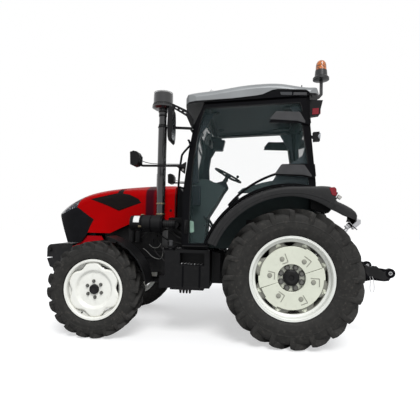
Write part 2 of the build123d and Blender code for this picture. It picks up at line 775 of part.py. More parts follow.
# ---------------------------------------------------------------- cab
POST_FRONT = [(-280, 1030), (-296, 1600), (-263, 1882), (-219, 2226), (-174, 2468), (-85, 2660)]
SIDE_TOP = [(-60, 2720), (1140, 2788)]
POST_REAR = [(1153, 2451), (1220, 1798)]
OPEN_FRONT = [(-208, 1095), (-201, 1541), (-174, 1996), (-120, 2389), (-61, 2630)]
OPEN_TOP = [(-30, 2652), (1024, 2707), (1050, 2660)]
OPEN_REAR = [(1064, 2456), (1129, 2050), (1144, 1830)]


def arc_point(radius, x):
    """Point of an arc about the rear wheel's centre at x."""
    return (x, REAR_TYRE_R + sqrt(radius ** 2 - (x - REAR_AXLE_X) ** 2))


def side_form(front, top, rear, radius, foot_z, sill_z):
    """Closed cab side outline whose lower rear edge follows the rear wheel down to the foot height."""
    arc_rear = arc_point(radius, rear[-1][0])
    arc_foot = (REAR_AXLE_X - sqrt(radius ** 2 - (foot_z - REAR_TYRE_R) ** 2), foot_z)
    mid_angle = (degrees(atan2(arc_rear[1] - REAR_TYRE_R, arc_rear[0] - REAR_AXLE_X))
                 + degrees(atan2(arc_foot[1] - REAR_TYRE_R, arc_foot[0] - REAR_AXLE_X))) / 2
    sill = [] if foot_z == sill_z else [(arc_foot[0], sill_z)]
    with BuildLine() as outline:
        Polyline(*front, *top, *rear, arc_rear)
        ThreePointArc(arc_rear, on_circle(REAR_CENTRE, radius, mid_angle), arc_foot)
        Polyline(arc_foot, *sill, front[0])
    return outline.line


def post_rear_x(z):
    """Outer face of the rear post at the height z."""
    (x_high, z_high), (x_low, z_low) = (SIDE_TOP[1], POST_REAR[0]) if z > POST_REAR[0][1] else POST_REAR
    return x_high + (x_low - x_high) * (z_high - z) / (z_high - z_low)


side_outline = side_form(POST_FRONT, SIDE_TOP, POST_REAR, FENDER_R, 1110, 1030)
side_opening = side_form(OPEN_FRONT, OPEN_TOP, OPEN_REAR, FENDER_R + 24, 1095, 1095)
with BuildPart() as cab_frame:
    for side in (-1, 1):
        start = side * CAB_SIDE_Y
        with BuildSketch(side_plane(start)):
            with BuildLine():
                add(side_outline)
            make_face()
        extrude(amount=side * CAB_POST_T)
        with BuildSketch(side_plane(start)):
            with BuildLine():
                add(side_opening)
            make_face()
        extrude(amount=side * CAB_POST_T, mode=Mode.SUBTRACT)
    # cross rails: front top, rear top and rear sill
    cross = 2 * (CAB_SIDE_Y - CAB_POST_T) + 2
    with BuildSketch(side_plane(cross / 2)):
        Polygon((-85, 2660), (-60, 2716), (20, 2720), (-10, 2650), align=None)
        Polygon((1060, 2712), (1080, 2780), (1138, 2784), (1141, 2700), align=None)
        Polygon((1155, 1760), (1150, 1822), (1215, 1826), (1222, 1760), align=None)
    extrude(amount=cross)
keep(cab_frame, "cab_frame")

with BuildPart() as bulkhead:
    with BuildSketch(side_plane(330)):
        Polygon((-425, 1180), (-425, 1800), (-300, 1640), (-300, 1100), align=None)
    extrude(amount=660)
    with BuildSketch(front_plane(-300)):
        with Locations((0, (1640 + FLOOR_Z - 30) / 2)):
            Rectangle(2 * (CAB_SIDE_Y - CAB_POST_T), 1640 - FLOOR_Z + 30)
    extrude(amount=FLOOR_FRONT_X + 300)
keep(bulkhead, "bulkhead")

with BuildPart() as cab_floor:
    floor_t = 30.0
    inner = FENDER_IN_Y - 20
    # front floor, riser and seat deck
    with BuildSketch(Plane.XY.offset(FLOOR_Z - floor_t)):
        with Locations((FLOOR_FRONT_X / 2, 0)):
            Rectangle(-FLOOR_FRONT_X, 2 * (CAB_SIDE_Y - CAB_POST_T))
        with Locations((DECK_X / 2 - 5, 0)):
            Rectangle(DECK_X + 10, 2 * inner)
    extrude(amount=floor_t)
    with BuildSketch(side_plane(inner)):
        Polygon((DECK_X - 20, FLOOR_Z - floor_t), (DECK_X - 20, DECK_Z), (1215, DECK_Z), (1215, 1758), (1240, 1758),
                (1240, DECK_Z - 25), (DECK_X, DECK_Z - 25), (DECK_X, FLOOR_Z - floor_t), align=None)
    extrude(amount=2 * inner)
    # inner walls beside the wheels, up to the fenders
    for side in (-1, 1):
        with BuildSketch(side_plane(side * (inner + 18))):
            with BuildLine():
                rear_top = arc_point(FENDER_R - FENDER_SHEET - 1, 1235)
                front_top = (REAR_AXLE_X - sqrt((FENDER_R - FENDER_SHEET - 1) ** 2 - 300 ** 2), REAR_TYRE_R + 300)
                Polyline(front_top, (front_top[0], FLOOR_Z - floor_t), (DECK_X, FLOOR_Z - floor_t),
                         (DECK_X, DECK_Z - 25), (1235, DECK_Z - 25), rear_top)
                ThreePointArc(rear_top, on_circle(REAR_CENTRE, FENDER_R - FENDER_SHEET - 1, 110), front_top)
            make_face()
        extrude(amount=side * 18)
keep(cab_floor, "cab_floor")

# one row for each section: x, height where the crown starts
ROOF_SECTIONS = [(-340, 2800), (-200, 2846), (-80, 2862), (100, 2883), (390, 2928), (610, 2946), (810, 2944),
                 (990, 2915), (1150, 2895), (1290, 2880)]
ROOF_HALF_W = 772.0
ROOF_CORNER = 90.0
ROOF_CROWN = 30.0
ROOF_FRONT = [(-330, 2706), (-322, 2745), (-302, 2785), (-264, 2822), (-214, 2850), (-140, 2882), (-60, 2920),
              (0, 3020)]
ROOF_REAR = [(1060, 3020), (1160, 2905), (1225, 2868), (1256, 2830), (1262, 2795)]
# black side band: upper edge from the front, above the line of the cab's side
BAND_EDGE = [(39, 2739), (537, 2789), (610, 2802), (720, 2850), (780, 2860), (1094, 2850), (1130, 2822), (1143, 2790)]
BAND_IN_Y = 715.0
BAND_OUT_Y = 762.0
with BuildPart() as cab_roof:
    # sections across the roof, then cut to its side profile and its plan
    for x, z in ROOF_SECTIONS:
        low = ROOF_HALF_W - ROOF_CORNER
        with BuildSketch(front_plane(x)):
            with BuildLine():
                Polyline((-ROOF_HALF_W, z - ROOF_CORNER), (-ROOF_HALF_W, 2600), (ROOF_HALF_W, 2600),
                         (ROOF_HALF_W, z - ROOF_CORNER))
                RadiusArc((ROOF_HALF_W, z - ROOF_CORNER), (low, z), -ROOF_CORNER)
                ThreePointArc((low, z), (0, z + ROOF_CROWN), (-low, z))
                RadiusArc((-low, z), (-ROOF_HALF_W, z - ROOF_CORNER), -ROOF_CORNER)
            make_face()
    loft()
    with BuildSketch(side_plane(800)):
        Polygon(*ROOF_FRONT, *ROOF_REAR, *SIDE_TOP[::-1], align=None)
    extrude(amount=1600, mode=Mode.INTERSECT)
    with BuildSketch(Plane.XY.offset(2600)):
        with BuildLine():
            ThreePointArc((-284, -650), (-328, 0), (-284, 650))
            Polyline((-284, 650), (-235, 738), (-150, 770), (1140, 770), (1215, 740), (1250, 670))
            ThreePointArc((1250, 670), (1262, 0), (1250, -670))
            Polyline((1250, -670), (1215, -740), (1140, -770), (-150, -770), (-235, -738), (-284, -650))
        make_face()
    extrude(amount=600, mode=Mode.INTERSECT)
    # recess for the side bands
    for side in (-1, 1):
        with BuildSketch(Plane.XZ.offset(-side * BAND_IN_Y)):
            Polygon(*BAND_EDGE, (1140, 2700), (-60, 2700), (-60, 2724), align=None)
        extrude(amount=-side * 100, mode=Mode.SUBTRACT)
keep(cab_roof, "cab_roof")

with BuildPart() as roof_bands:
    for side in (-1, 1):
        with BuildSketch(Plane.XZ.offset(-side * BAND_IN_Y)):
            Polygon(*BAND_EDGE, SIDE_TOP[1], SIDE_TOP[0], align=None)
        extrude(amount=-side * (BAND_OUT_Y - BAND_IN_Y))
        # lamp recess
        with BuildSketch(Plane.XZ.offset(-side * (BAND_OUT_Y - 14))):
            with Locations((1022, 2815)):
                RectangleRounded(176, 50, 8)
        extrude(amount=-side * 20, mode=Mode.SUBTRACT)
keep(roof_bands, "roof_bands")

with BuildPart() as cab_glass:
    # windshield behind the front posts, and the rear window between the rear posts
    half = CAB_SIDE_Y - CAB_POST_T
    with BuildSketch(side_plane(half)):
        Polygon((-290, 1640), (-258, 1882), (-214, 2226), (-169, 2468), (-88, 2640), (-80, 2640), (-161, 2468),
                (-206, 2226), (-250, 1882), (-282, 1640), align=None)
    extrude(amount=2 * half)
    with BuildSketch(side_plane(half)):
        Polygon((1213, 1830), (1146, 2451), (1140, 2696), (1132, 2696), (1138, 2451), (1205, 1830), align=None)
    extrude(amount=2 * half)
keep(cab_glass, "cab_glass")


def fender(name, side):
    """Rear fender: arched top, outer skirt and inner flange."""
    front_angle = 158.5
    rear_angle = 44.0
    steps = [(FENDER_IN_Y, FENDER_OUT_Y, FENDER_R - FENDER_SHEET, FENDER_R),
             (FENDER_OUT_Y - 12, FENDER_OUT_Y, FENDER_SKIRT_R, FENDER_R)]
    with BuildPart() as piece:
        for y_in, y_out, r_in, r_out in steps:
            with BuildSketch(side_plane(side * y_in)):
                with BuildLine():
                    mid = (front_angle + rear_angle) / 2
                    ThreePointArc(on_circle(REAR_CENTRE, r_out, front_angle), on_circle(REAR_CENTRE, r_out, mid),
                                  on_circle(REAR_CENTRE, r_out, rear_angle))
                    Line(on_circle(REAR_CENTRE, r_out, rear_angle), on_circle(REAR_CENTRE, r_in, rear_angle))
                    ThreePointArc(on_circle(REAR_CENTRE, r_in, rear_angle), on_circle(REAR_CENTRE, r_in, mid),
                                  on_circle(REAR_CENTRE, r_in, front_angle))
                    Line(on_circle(REAR_CENTRE, r_in, front_angle), on_circle(REAR_CENTRE, r_out, front_angle))
                make_face()
            extrude(amount=-side * (y_out - y_in))
    keep(piece, name)


fender("fender_left", -1)
fender("fender_right", 1)


# ---------------------------------------------------------------- doors
HINGE_LOW = (1216.0, 1800.0)
HINGE_LEAN = (1153 - 1220) / (2451 - 1798)
HINGE_Y = 772.0


def hinge_x(z):
    """Place of the leaning hinge line at the height z."""
    return HINGE_LOW[0] - 10 + HINGE_LEAN * (z - HINGE_LOW[1])


DOOR_FRONT = [(-262, 1050), (-274, 1600), (-243, 1882), (-200, 2226), (-156, 2460), (-72, 2640)]
DOOR_TOP = [(-48, 2694), (1100, 2756)]
DOOR_REAR = [(1122, 2560), (1190, 1800)]
PANE_TOP = [(-30, 2652), (1024, 2707), (1050, 2660)]
PANE_REAR = [(1060, 2456), (1122, 2050), (1138, 1830)]
DOOR_BAR = [(246, 1530), (560, 1800), (1100, 1950)]
BAR_HALF_W = 13.0
DOOR_ARC_R = FENDER_R + 28
PANE_ARC_R = FENDER_R + 48


door_outline = side_form(DOOR_FRONT, DOOR_TOP, DOOR_REAR, DOOR_ARC_R, 1050, 1050)
pane_outline = side_form(OPEN_FRONT, PANE_TOP, PANE_REAR, PANE_ARC_R, 1095, 1095)


def make_door(side_name, side):
    """Door ring with its hinge covers and inner handle bar, and the pane that fills it."""
    face = side * DOOR_IN_Y
    with BuildPart() as door:
        with BuildSketch(side_plane(face)):
            with BuildLine():
                add(door_outline)
            make_face()
        extrude(amount=-side * DOOR_T)
        with BuildSketch(side_plane(face)):
            with BuildLine():
                add(pane_outline)
            make_face()
        extrude(amount=-side * DOOR_T, mode=Mode.SUBTRACT)
        # hinge covers reach from the ring's rear edge over the pane
        for z_low, z_high, x_front in [(2465, 2590, 690), (1870, 2005, 770)]:
            with BuildSketch(side_plane(face + side * DOOR_T)):
                Polygon((x_front, z_low + 10), (x_front + 70, z_high), (1080, z_high + 8), (hinge_x(z_high) + 4, z_high),
                        (hinge_x(z_low) + 4, z_low - 20), (1060, z_low), align=None)
            extrude(amount=-side * 24)
            # hinge knuckle on the leaning axis
            knuckle_plane = Plane(origin=(hinge_x(z_low), side * HINGE_Y, z_low), x_dir=(0, 1, 0),
                                  z_dir=(HINGE_LEAN, 0, 1))
            with BuildSketch(knuckle_plane):
                Circle(14)
            extrude(amount=z_high - z_low)
        # bowed bar from the lower hinge cover down to the ring's edge
        with BuildSketch(side_plane(face + side * (DOOR_T - GLASS_T))):
            with BuildLine():
                for grow, order in [(BAR_HALF_W, 1), (-BAR_HALF_W, -1)]:
                    ThreePointArc(*[(x - 0.5 * grow, z + 0.87 * grow) for x, z in DOOR_BAR[::order]])
                (x_low, z_low), (x_high, z_high) = DOOR_BAR[0], DOOR_BAR[2]
                Line((x_low - 0.5 * BAR_HALF_W, z_low + 0.87 * BAR_HALF_W),
                     (x_low + 0.5 * BAR_HALF_W, z_low - 0.87 * BAR_HALF_W))
                Line((x_high - 0.5 * BAR_HALF_W, z_high + 0.87 * BAR_HALF_W),
                     (x_high + 0.5 * BAR_HALF_W, z_high - 0.87 * BAR_HALF_W))
            make_face()
        extrude(amount=-side * 22)
    keep(door, f"door_{side_name}")
    with BuildPart() as pane:
        with BuildSketch(side_plane(face + side * (DOOR_T - GLASS_T))):
            with BuildLine():
                add(pane_outline)
            make_face()
        extrude(amount=-side * GLASS_T)
        add(door.part, mode=Mode.SUBTRACT)
    keep(pane, f"door_glass_{side_name}")


for side_name, side in SIDES.items():
    make_door(side_name, side)


# ---------------------------------------------------------------- inside the cab
with BuildPart() as seat:
    # plinth, cushion and low back
    with BuildSketch(Plane.XY.offset(DECK_Z)):
        with Locations((740, 0)):
            Rectangle(300, 320)
    extrude(amount=160)
    with BuildSketch(side_plane(240)):
        Polygon((500, 1560), (490, 1620), (520, 1665), (900, 1640), (930, 1560), align=None)
        Polygon((880, 1600), (900, 1640), (955, 2000), (1020, 2010), (1040, 1960), (960, 1560), align=None)
    extrude(amount=480)
keep(seat, "seat")

with BuildPart() as console:
    with BuildSketch(side_plane(210)):
        Polygon((FLOOR_FRONT_X, FLOOR_Z), (FLOOR_FRONT_X, 1640), (-225, 1850), (-150, 1885), (50, 1852.6),
                (170, 1788.8), (40, 1560),
                (-60, 1400), (-90, FLOOR_Z), align=None)
    extrude(amount=420)
keep(console, "console")

WHEEL_CENTRE = (192.0, 1972.0)
WHEEL_TILT = 28.0
with BuildPart() as steering_wheel:
    up = Vector(sin(radians(WHEEL_TILT)), 0, cos(radians(WHEEL_TILT)))
    hub = Vector(WHEEL_CENTRE[0], 0, WHEEL_CENTRE[1])
    rim_plane = Plane(origin=hub, x_dir=(0, 1, 0), z_dir=up)
    with BuildSketch(rim_plane.offset(-12)):
        Circle(205)
        Circle(180, mode=Mode.SUBTRACT)
        Circle(45)
        with PolarLocations(110, 3):
            Rectangle(160, 30)
    extrude(amount=24)
    with BuildSketch(rim_plane.offset(-172)):
        Circle(30)
    extrude(amount=165)
keep(steering_wheel, "steering_wheel")


# ---------------------------------------------------------------- lamps and mirrors
MIRROR_ARM_Y = 870.0
MIRROR_HEAD = [(-372, 2575), (-385, 2590), (-402, 2585), (-412, 2550), (-418, 2380), (-412, 2260), (-400, 2215),
               (-386, 2205), (-372, 2225), (-366, 2400)]
with BuildPart() as mirrors:
    for side in (-1, 1):
        # head, rounded from the side and from the front
        with BuildSketch(Plane.XZ.offset(-side * 840)):
            Polygon(*MIRROR_HEAD, align=None)
        extrude(amount=-side * 210)
        # slotted upper arm and plain lower arm, each with its foot on the post
        with BuildSketch(Plane.XZ.offset(-side * (MIRROR_ARM_Y - 15))):
            Polygon((-404, 2560), (-404, 2662), (-390, 2668), (-226, 2590), (-160, 2500), (-160, 2420), (-190, 2420),
                    (-240, 2530), (-380, 2614), (-380, 2560), align=None)
            Polygon((-404, 2388), (-404, 2412), (-166, 2400), (-166, 2376), align=None)
        extrude(amount=-side * 30)
        for x_slot, z_slot in [(-356, 2625), (-306, 2598), (-256, 2570)]:
            with BuildSketch(Plane.XZ.offset(-side * (MIRROR_ARM_Y - 20))):
                with Locations((x_slot, z_slot)):
                    SlotOverall(38, 14, rotation=-28)
            extrude(amount=-side * 40, mode=Mode.SUBTRACT)
        with BuildSketch(Plane.XZ.offset(-side * CAB_SIDE_Y)):
            with Locations((-182, 2446)):
                Rectangle(18, 50)
            with Locations((-187, 2388)):
                Rectangle(18, 24)
        extrude(amount=-side * (MIRROR_ARM_Y - CAB_SIDE_Y))
keep(mirrors, "mirrors")

LAMP_ARM_Z = 1962.0
with BuildPart() as front_lamps:
    for side in (-1, 1):
        # bowl, stalk, arm and the bracket on the post
        with BuildSketch(Plane.XZ.offset(-side * 872)):
            Polygon((-822, 1958), (-828, 2100), (-800, 2112), (-758, 2102), (-732, 2060), (-734, 1990), (-762, 1952),
                    (-800, 1944), align=None)
        extrude(amount=-side * 138)
        with BuildSketch(Plane.XZ.offset(-side * 880)):
            Polygon((-770, 1960), (-752, 1996), (-718, LAMP_ARM_Z + 11), (-232, LAMP_ARM_Z + 11),
                    (-232, LAMP_ARM_Z - 11), (-722, LAMP_ARM_Z - 11), align=None)
        extrude(amount=-side * 22)
        with BuildSketch(Plane.XZ.offset(-side * CAB_SIDE_Y)):
            Polygon((-340, LAMP_ARM_Z - 15), (-340, LAMP_ARM_Z + 15), (-262, 2030), (-252, 2030), (-266, 1895),
                    (-272, 1895), align=None)
        extrude(amount=-side * 22)
        with BuildSketch(Plane.XZ.offset(-side * CAB_SIDE_Y)):
            with Locations((-320, LAMP_ARM_Z)):
                Rectangle(24, 22)
        extrude(amount=-side * 177)
keep(front_lamps, "front_lamps")

with BuildPart() as rear_lamps:
    for side in (-1, 1):
        # corner lamp on its bracket, and the work lamp below it
        with BuildSketch(Plane.XZ.offset(-side * 640)):
            Polygon((post_rear_x(2750), 2750), (post_rear_x(2560), 2560), (1250, 2575), (1290, 2745), align=None)
        extrude(amount=-side * 70)
        with BuildSketch(Plane.XZ.offset(-side * 640)):
            Polygon((1195, 2280), (1265, 2285), (1258, 2390), (1190, 2385), align=None)
            Polygon((post_rear_x(2320), 2320), (post_rear_x(2345), 2345), (1200, 2345), (1200, 2320), align=None)
        extrude(amount=-side * 60)
        # lamp at the fender's tail
        with BuildSketch(Plane.XZ.offset(-side * 860)):
            with Locations(Location((*on_circle(REAR_CENTRE, FENDER_R + 20, 66), 0), (0, 0, -24))):
                Rectangle(90, 40)
        extrude(amount=-side * 85)
keep(rear_lamps, "rear_lamps")

BEACON_Y = -600.0
BEACON_X = 1286.0
with BuildPart() as beacon:
    # mast, flared base and domed lens
    with BuildSketch(front_plane(BEACON_X)):
        with BuildLine():
            Polyline((BEACON_Y, 2985), (BEACON_Y + 18, 2985), (BEACON_Y + 18, 3005), (BEACON_Y + 92, 3018),
                     (BEACON_Y + 92, 3040), (BEACON_Y + 72, 3060), (BEACON_Y + 66, 3128), (BEACON_Y + 62, 3128),
                     (BEACON_Y + 60, 3185), (BEACON_Y + 54, 3212), (BEACON_Y + 40, 3234), (BEACON_Y + 20, 3246),
                     (BEACON_Y, 3249), close=True)
        make_face()
    revolve(axis=Axis((BEACON_X, BEACON_Y, 0), (0, 0, 1)))
    with BuildSketch(side_plane(BEACON_Y + 16)):
        Polygon((1273, 3000), (1305, 3000), (1305, 2840), (1268, 2798), (1240, 2798), (1240, 2816), (1273, 2855),
                align=None)
    extrude(amount=32)
    add(cab_roof.part, mode=Mode.SUBTRACT)
keep(beacon, "beacon")


# ---------------------------------------------------------------- steering
ARM_Z = FRONT_TYRE_R
for side_name, side in SIDES.items():
    with BuildPart() as knuckle:
        # swivel body with its pins
        with BuildSketch(Plane.XY.offset(FRONT_TYRE_R - EAR_Z + 1)):
            with Locations((FRONT_AXLE_X, side * KINGPIN_Y)):
                Circle(62)
        extrude(amount=2 * EAR_Z - 2)
        with BuildSketch(Plane.XY.offset(FRONT_TYRE_R - EAR_Z - 30)):
            with Locations((FRONT_AXLE_X, side * KINGPIN_Y)):
                Circle(20)
        extrude(amount=2 * EAR_Z + 70)
        # hub body and spindle
        for y, length, r in [(KINGPIN_Y, 60, 80), (KINGPIN_Y + 58, 100, 105), (KINGPIN_Y + 150, 50, FRONT_HUB_R - RUNNING)]:
            with BuildSketch(Plane.XZ.offset(-side * y)):
                with Locations(FRONT_CENTRE):
                    Circle(r)
            extrude(amount=-side * length)
        # steering arm, forward of the axle
        with BuildSketch(Plane.XY.offset(ARM_Z - 15)):
            with Locations((FRONT_AXLE_X - STEER_ARM / 2, side * KINGPIN_Y)):
                Rectangle(STEER_ARM, 44)
            with Locations((FRONT_AXLE_X - STEER_ARM, side * KINGPIN_Y)):
                Circle(26)
        extrude(amount=30)
        with BuildSketch(Plane.XY.offset(ARM_Z)):
            with Locations((FRONT_AXLE_X - STEER_ARM, side * KINGPIN_Y)):
                Circle(11)
        extrude(amount=54)
    keep(knuckle, f"knuckle_{side_name}")

    with BuildPart() as mudguard:
        arc_from, arc_to = 76.0, 8.0
        with BuildSketch(Plane.XZ.offset(-side * 640)):
            with BuildLine():
                mid = (arc_from + arc_to) / 2
                ThreePointArc(on_circle(FRONT_CENTRE, GUARD_R, arc_from), on_circle(FRONT_CENTRE, GUARD_R, mid),
                              on_circle(FRONT_CENTRE, GUARD_R, arc_to))
                Line(on_circle(FRONT_CENTRE, GUARD_R, arc_to), on_circle(FRONT_CENTRE, GUARD_R - 12, arc_to))
                ThreePointArc(on_circle(FRONT_CENTRE, GUARD_R - 12, arc_to), on_circle(FRONT_CENTRE, GUARD_R - 12, mid),
                              on_circle(FRONT_CENTRE, GUARD_R - 12, arc_from))
                Line(on_circle(FRONT_CENTRE, GUARD_R - 12, arc_from), on_circle(FRONT_CENTRE, GUARD_R, arc_from))
            make_face()
        extrude(amount=-side * 290)
        # foot on the kingpin, post inboard of the tyre and bars under the guard
        foot_z = FRONT_TYRE_R + EAR_Z + 40
        with BuildSketch(Plane.XY.offset(foot_z)):
            with Locations((FRONT_AXLE_X + 40, side * 656)):
                Rectangle(140, 84)
        extrude(amount=12)
        with BuildSketch(Plane.XZ.offset(-side * 616)):
            Polygon((-1260, foot_z), (-1150, foot_z), on_circle(FRONT_CENTRE, GUARD_R - 12, 42),
                    on_circle(FRONT_CENTRE, GUARD_R - 12, 56), align=None)
        extrude(amount=-side * 12)
        for angle in (44, 54):
            with BuildSketch(Plane.XZ.offset(-side * 616)):
                with Locations(Location((*on_circle(FRONT_CENTRE, GUARD_R - 20, angle), 0), (0, 0, angle))):
                    Rectangle(18, 40)
            extrude(amount=-side * 290)
    keep(mudguard, f"mudguard_{side_name}")

TIE_Z = ARM_Z + 35
with BuildPart() as tie_rod:
    for side in (-1, 1):
        with BuildSketch(Plane.XY.offset(TIE_Z - 15)):
            with Locations((FRONT_AXLE_X - STEER_ARM, side * KINGPIN_Y)):
                Circle(25)
        extrude(amount=30)
    with BuildSketch(Plane.XZ.offset(-KINGPIN_Y)):
        with Locations((FRONT_AXLE_X - STEER_ARM, TIE_Z)):
            Circle(14)
    extrude(amount=2 * KINGPIN_Y)
    for side in (-1, 1):
        with BuildSketch(Plane.XY.offset(TIE_Z - 15)):
            with Locations((FRONT_AXLE_X - STEER_ARM, side * KINGPIN_Y)):
                Circle(11 + RUNNING)
        extrude(amount=30, mode=Mode.SUBTRACT)
keep(tie_rod, "tie_rod")

with BuildPart() as steering_rod:
    with BuildSketch(Plane.XZ.offset(-160)):
        with Locations((CYLINDER_X, CYLINDER_Z)):
            Circle(14)
    extrude(amount=-(KINGPIN_Y - 160 - 12))
    with BuildSketch(Plane.XY.offset(CYLINDER_Z - 16)):
        with Locations((CYLINDER_X, KINGPIN_Y)):
            Circle(27)
            Circle(11, mode=Mode.SUBTRACT)
    extrude(amount=32)
keep(steering_rod, "steering_rod")


# ---------------------------------------------------------------- three-point hitch
LINK_T = 24.0
ROD_IN_Y = 334.0
LINK_ROD = (LINK_PIVOT[0] + LIFT_ARM * cos(radians(LIFT_ANGLE)), LINK_PIVOT[1] + LIFT_ARM * sin(radians(LIFT_ANGLE)))
ARM_ROD = (LIFT_PIVOT[0] + LIFT_ARM * cos(radians(LIFT_ANGLE)), LIFT_PIVOT[1] + LIFT_ARM * sin(radians(LIFT_ANGLE)))
LINK_ROD_Y = LINK_PIVOT_Y + (LINK_END_Y - LINK_PIVOT_Y) * (LINK_ROD[0] - LINK_PIVOT[0]) / (LINK_END[0] - LINK_PIVOT[0])
BALL_R = 14.35

CLAW = [(1850, 862), (1897, 848), (1949, 868), (2005, 843), (2113, 829), (2150, 800), (2142, 745), (2113, 700),
        (2060, 692), (1960, 700), (1850, 728)]
CLAW_T = 40.0
with BuildPart() as lower_links:
    for side in (-1, 1):
        start = Vector(LINK_PIVOT[0], side * LINK_PIVOT_Y, LINK_PIVOT[1])
        end = Vector(LINK_END[0], side * LINK_END_Y, LINK_END[1])
        run = end - start
        with BuildSketch(Plane(origin=start + run.normalized() * 30, x_dir=Vector(-run.Y, run.X, 0), z_dir=run)):
            Rectangle(LINK_T, 70)
        extrude(amount=run.length - 60)
        for centre, mid_y, thick, r in [(LINK_PIVOT, LINK_PIVOT_Y, LINK_T, 48), (LINK_END, LINK_END_Y, 45, 55)]:
            with BuildSketch(Plane.XZ.offset(-side * (mid_y - thick / 2))):
                with Locations(centre):
                    Circle(r)
            extrude(amount=-side * thick)
        # hooked end
        with BuildSketch(Plane.XZ.offset(-side * (LINK_END_Y - CLAW_T / 2))):
            Polygon(*CLAW, align=None)
        extrude(amount=-side * CLAW_T)
        for centre, mid_y, r in [(LINK_PIVOT, LINK_PIVOT_Y, 18 + RUNNING), (LINK_END, LINK_END_Y, BALL_R)]:
            with BuildSketch(Plane.XZ.offset(-side * (mid_y - 40))):
                with Locations(centre):
                    Circle(r)
            extrude(amount=-side * 80, mode=Mode.SUBTRACT)
        # pin that the lift rod stands on
        with BuildSketch(Plane.XZ.offset(-side * LINK_ROD_Y)):
            with Locations(LINK_ROD):
                Circle(14)
        extrude(amount=-side * (ROD_IN_Y + 30 - LINK_ROD_Y))
keep(lower_links, "lower_links")

with BuildPart() as lift_arms:
    for side in (-1, 1):
        arm_in = LINK_ROD_Y - 13
        with BuildSketch(Plane.XZ.offset(-side * arm_in)):
            with Locations(LIFT_PIVOT):
                Circle(72)
            with Locations(ARM_ROD):
                Circle(34)
            with Locations(Location(((LIFT_PIVOT[0] + ARM_ROD[0]) / 2, (LIFT_PIVOT[1] + ARM_ROD[1]) / 2, 0),
                                    (0, 0, LIFT_ANGLE))):
                Rectangle(LIFT_ARM, 62)
            with Locations(LIFT_PIVOT):
                Circle(42 + RUNNING, mode=Mode.SUBTRACT)
        extrude(amount=-side * 26)
        with BuildSketch(Plane.XZ.offset(-side * (arm_in + 13))):
            with Locations(ARM_ROD):
                Circle(14)
        extrude(amount=-side * (ROD_IN_Y + 30 - arm_in - 13))
keep(lift_arms, "lift_arms")

with BuildPart() as lift_rods:
    for side in (-1, 1):
        with BuildSketch(Plane.XZ.offset(-side * ROD_IN_Y)):
            for centre in (LINK_ROD, ARM_ROD):
                with Locations(centre):
                    Circle(30)
                    Circle(14 + RUNNING, mode=Mode.SUBTRACT)
        extrude(amount=-side * 24)
        low = Vector(LINK_ROD[0], side * (ROD_IN_Y + 12), LINK_ROD[1])
        high = Vector(ARM_ROD[0], side * (ROD_IN_Y + 12), ARM_ROD[1])
        rod_run = high - low
        for offset, r in [(24, 12), (150, 20)]:
            with BuildSketch(Plane(origin=low + rod_run.normalized() * offset, z_dir=rod_run)):
                Circle(r)
            extrude(amount=rod_run.length - 2 * offset)
keep(lift_rods, "lift_rods")
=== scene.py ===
"""Looks of a farm tractor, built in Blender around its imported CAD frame.

The file runs in five parts: a small shader language, the finishes, a kit that builds surfaces, the
sub-assemblies that add or replace shapes, and the stage with its camera and light. All sizes are
metres in the frame's own axes: +X towards the rear, +Y towards the tractor's right, +Z up.
"""

import logging
import math
from dataclasses import dataclass, field
from typing import Any, ClassVar, Iterable, Sequence

import bmesh
import bpy
import numpy as np
from mathutils import Matrix, Vector


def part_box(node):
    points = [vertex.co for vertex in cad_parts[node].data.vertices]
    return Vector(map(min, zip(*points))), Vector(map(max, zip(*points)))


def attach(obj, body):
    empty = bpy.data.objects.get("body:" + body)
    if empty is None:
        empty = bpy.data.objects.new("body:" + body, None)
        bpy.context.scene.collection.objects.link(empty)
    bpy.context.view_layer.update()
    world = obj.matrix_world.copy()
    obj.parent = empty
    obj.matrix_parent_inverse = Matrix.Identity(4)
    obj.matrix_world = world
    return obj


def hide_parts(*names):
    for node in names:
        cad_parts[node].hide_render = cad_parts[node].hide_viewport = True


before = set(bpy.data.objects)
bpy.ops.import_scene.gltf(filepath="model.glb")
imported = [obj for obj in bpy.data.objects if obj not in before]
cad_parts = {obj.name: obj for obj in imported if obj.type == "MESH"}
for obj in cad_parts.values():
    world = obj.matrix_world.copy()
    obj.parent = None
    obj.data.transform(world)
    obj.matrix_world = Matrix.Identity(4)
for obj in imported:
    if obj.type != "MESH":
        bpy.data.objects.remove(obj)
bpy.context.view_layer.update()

logging.basicConfig(level=logging.INFO, format="%(message)s")
LOG = logging.getLogger("tractor")

Pair = tuple[float, float]
Point = tuple[float, float, float]
Colour = Point
Outline = Sequence[Pair]
Material = bpy.types.Material
Array = np.ndarray
SIDES = {"left": -1, "right": 1}


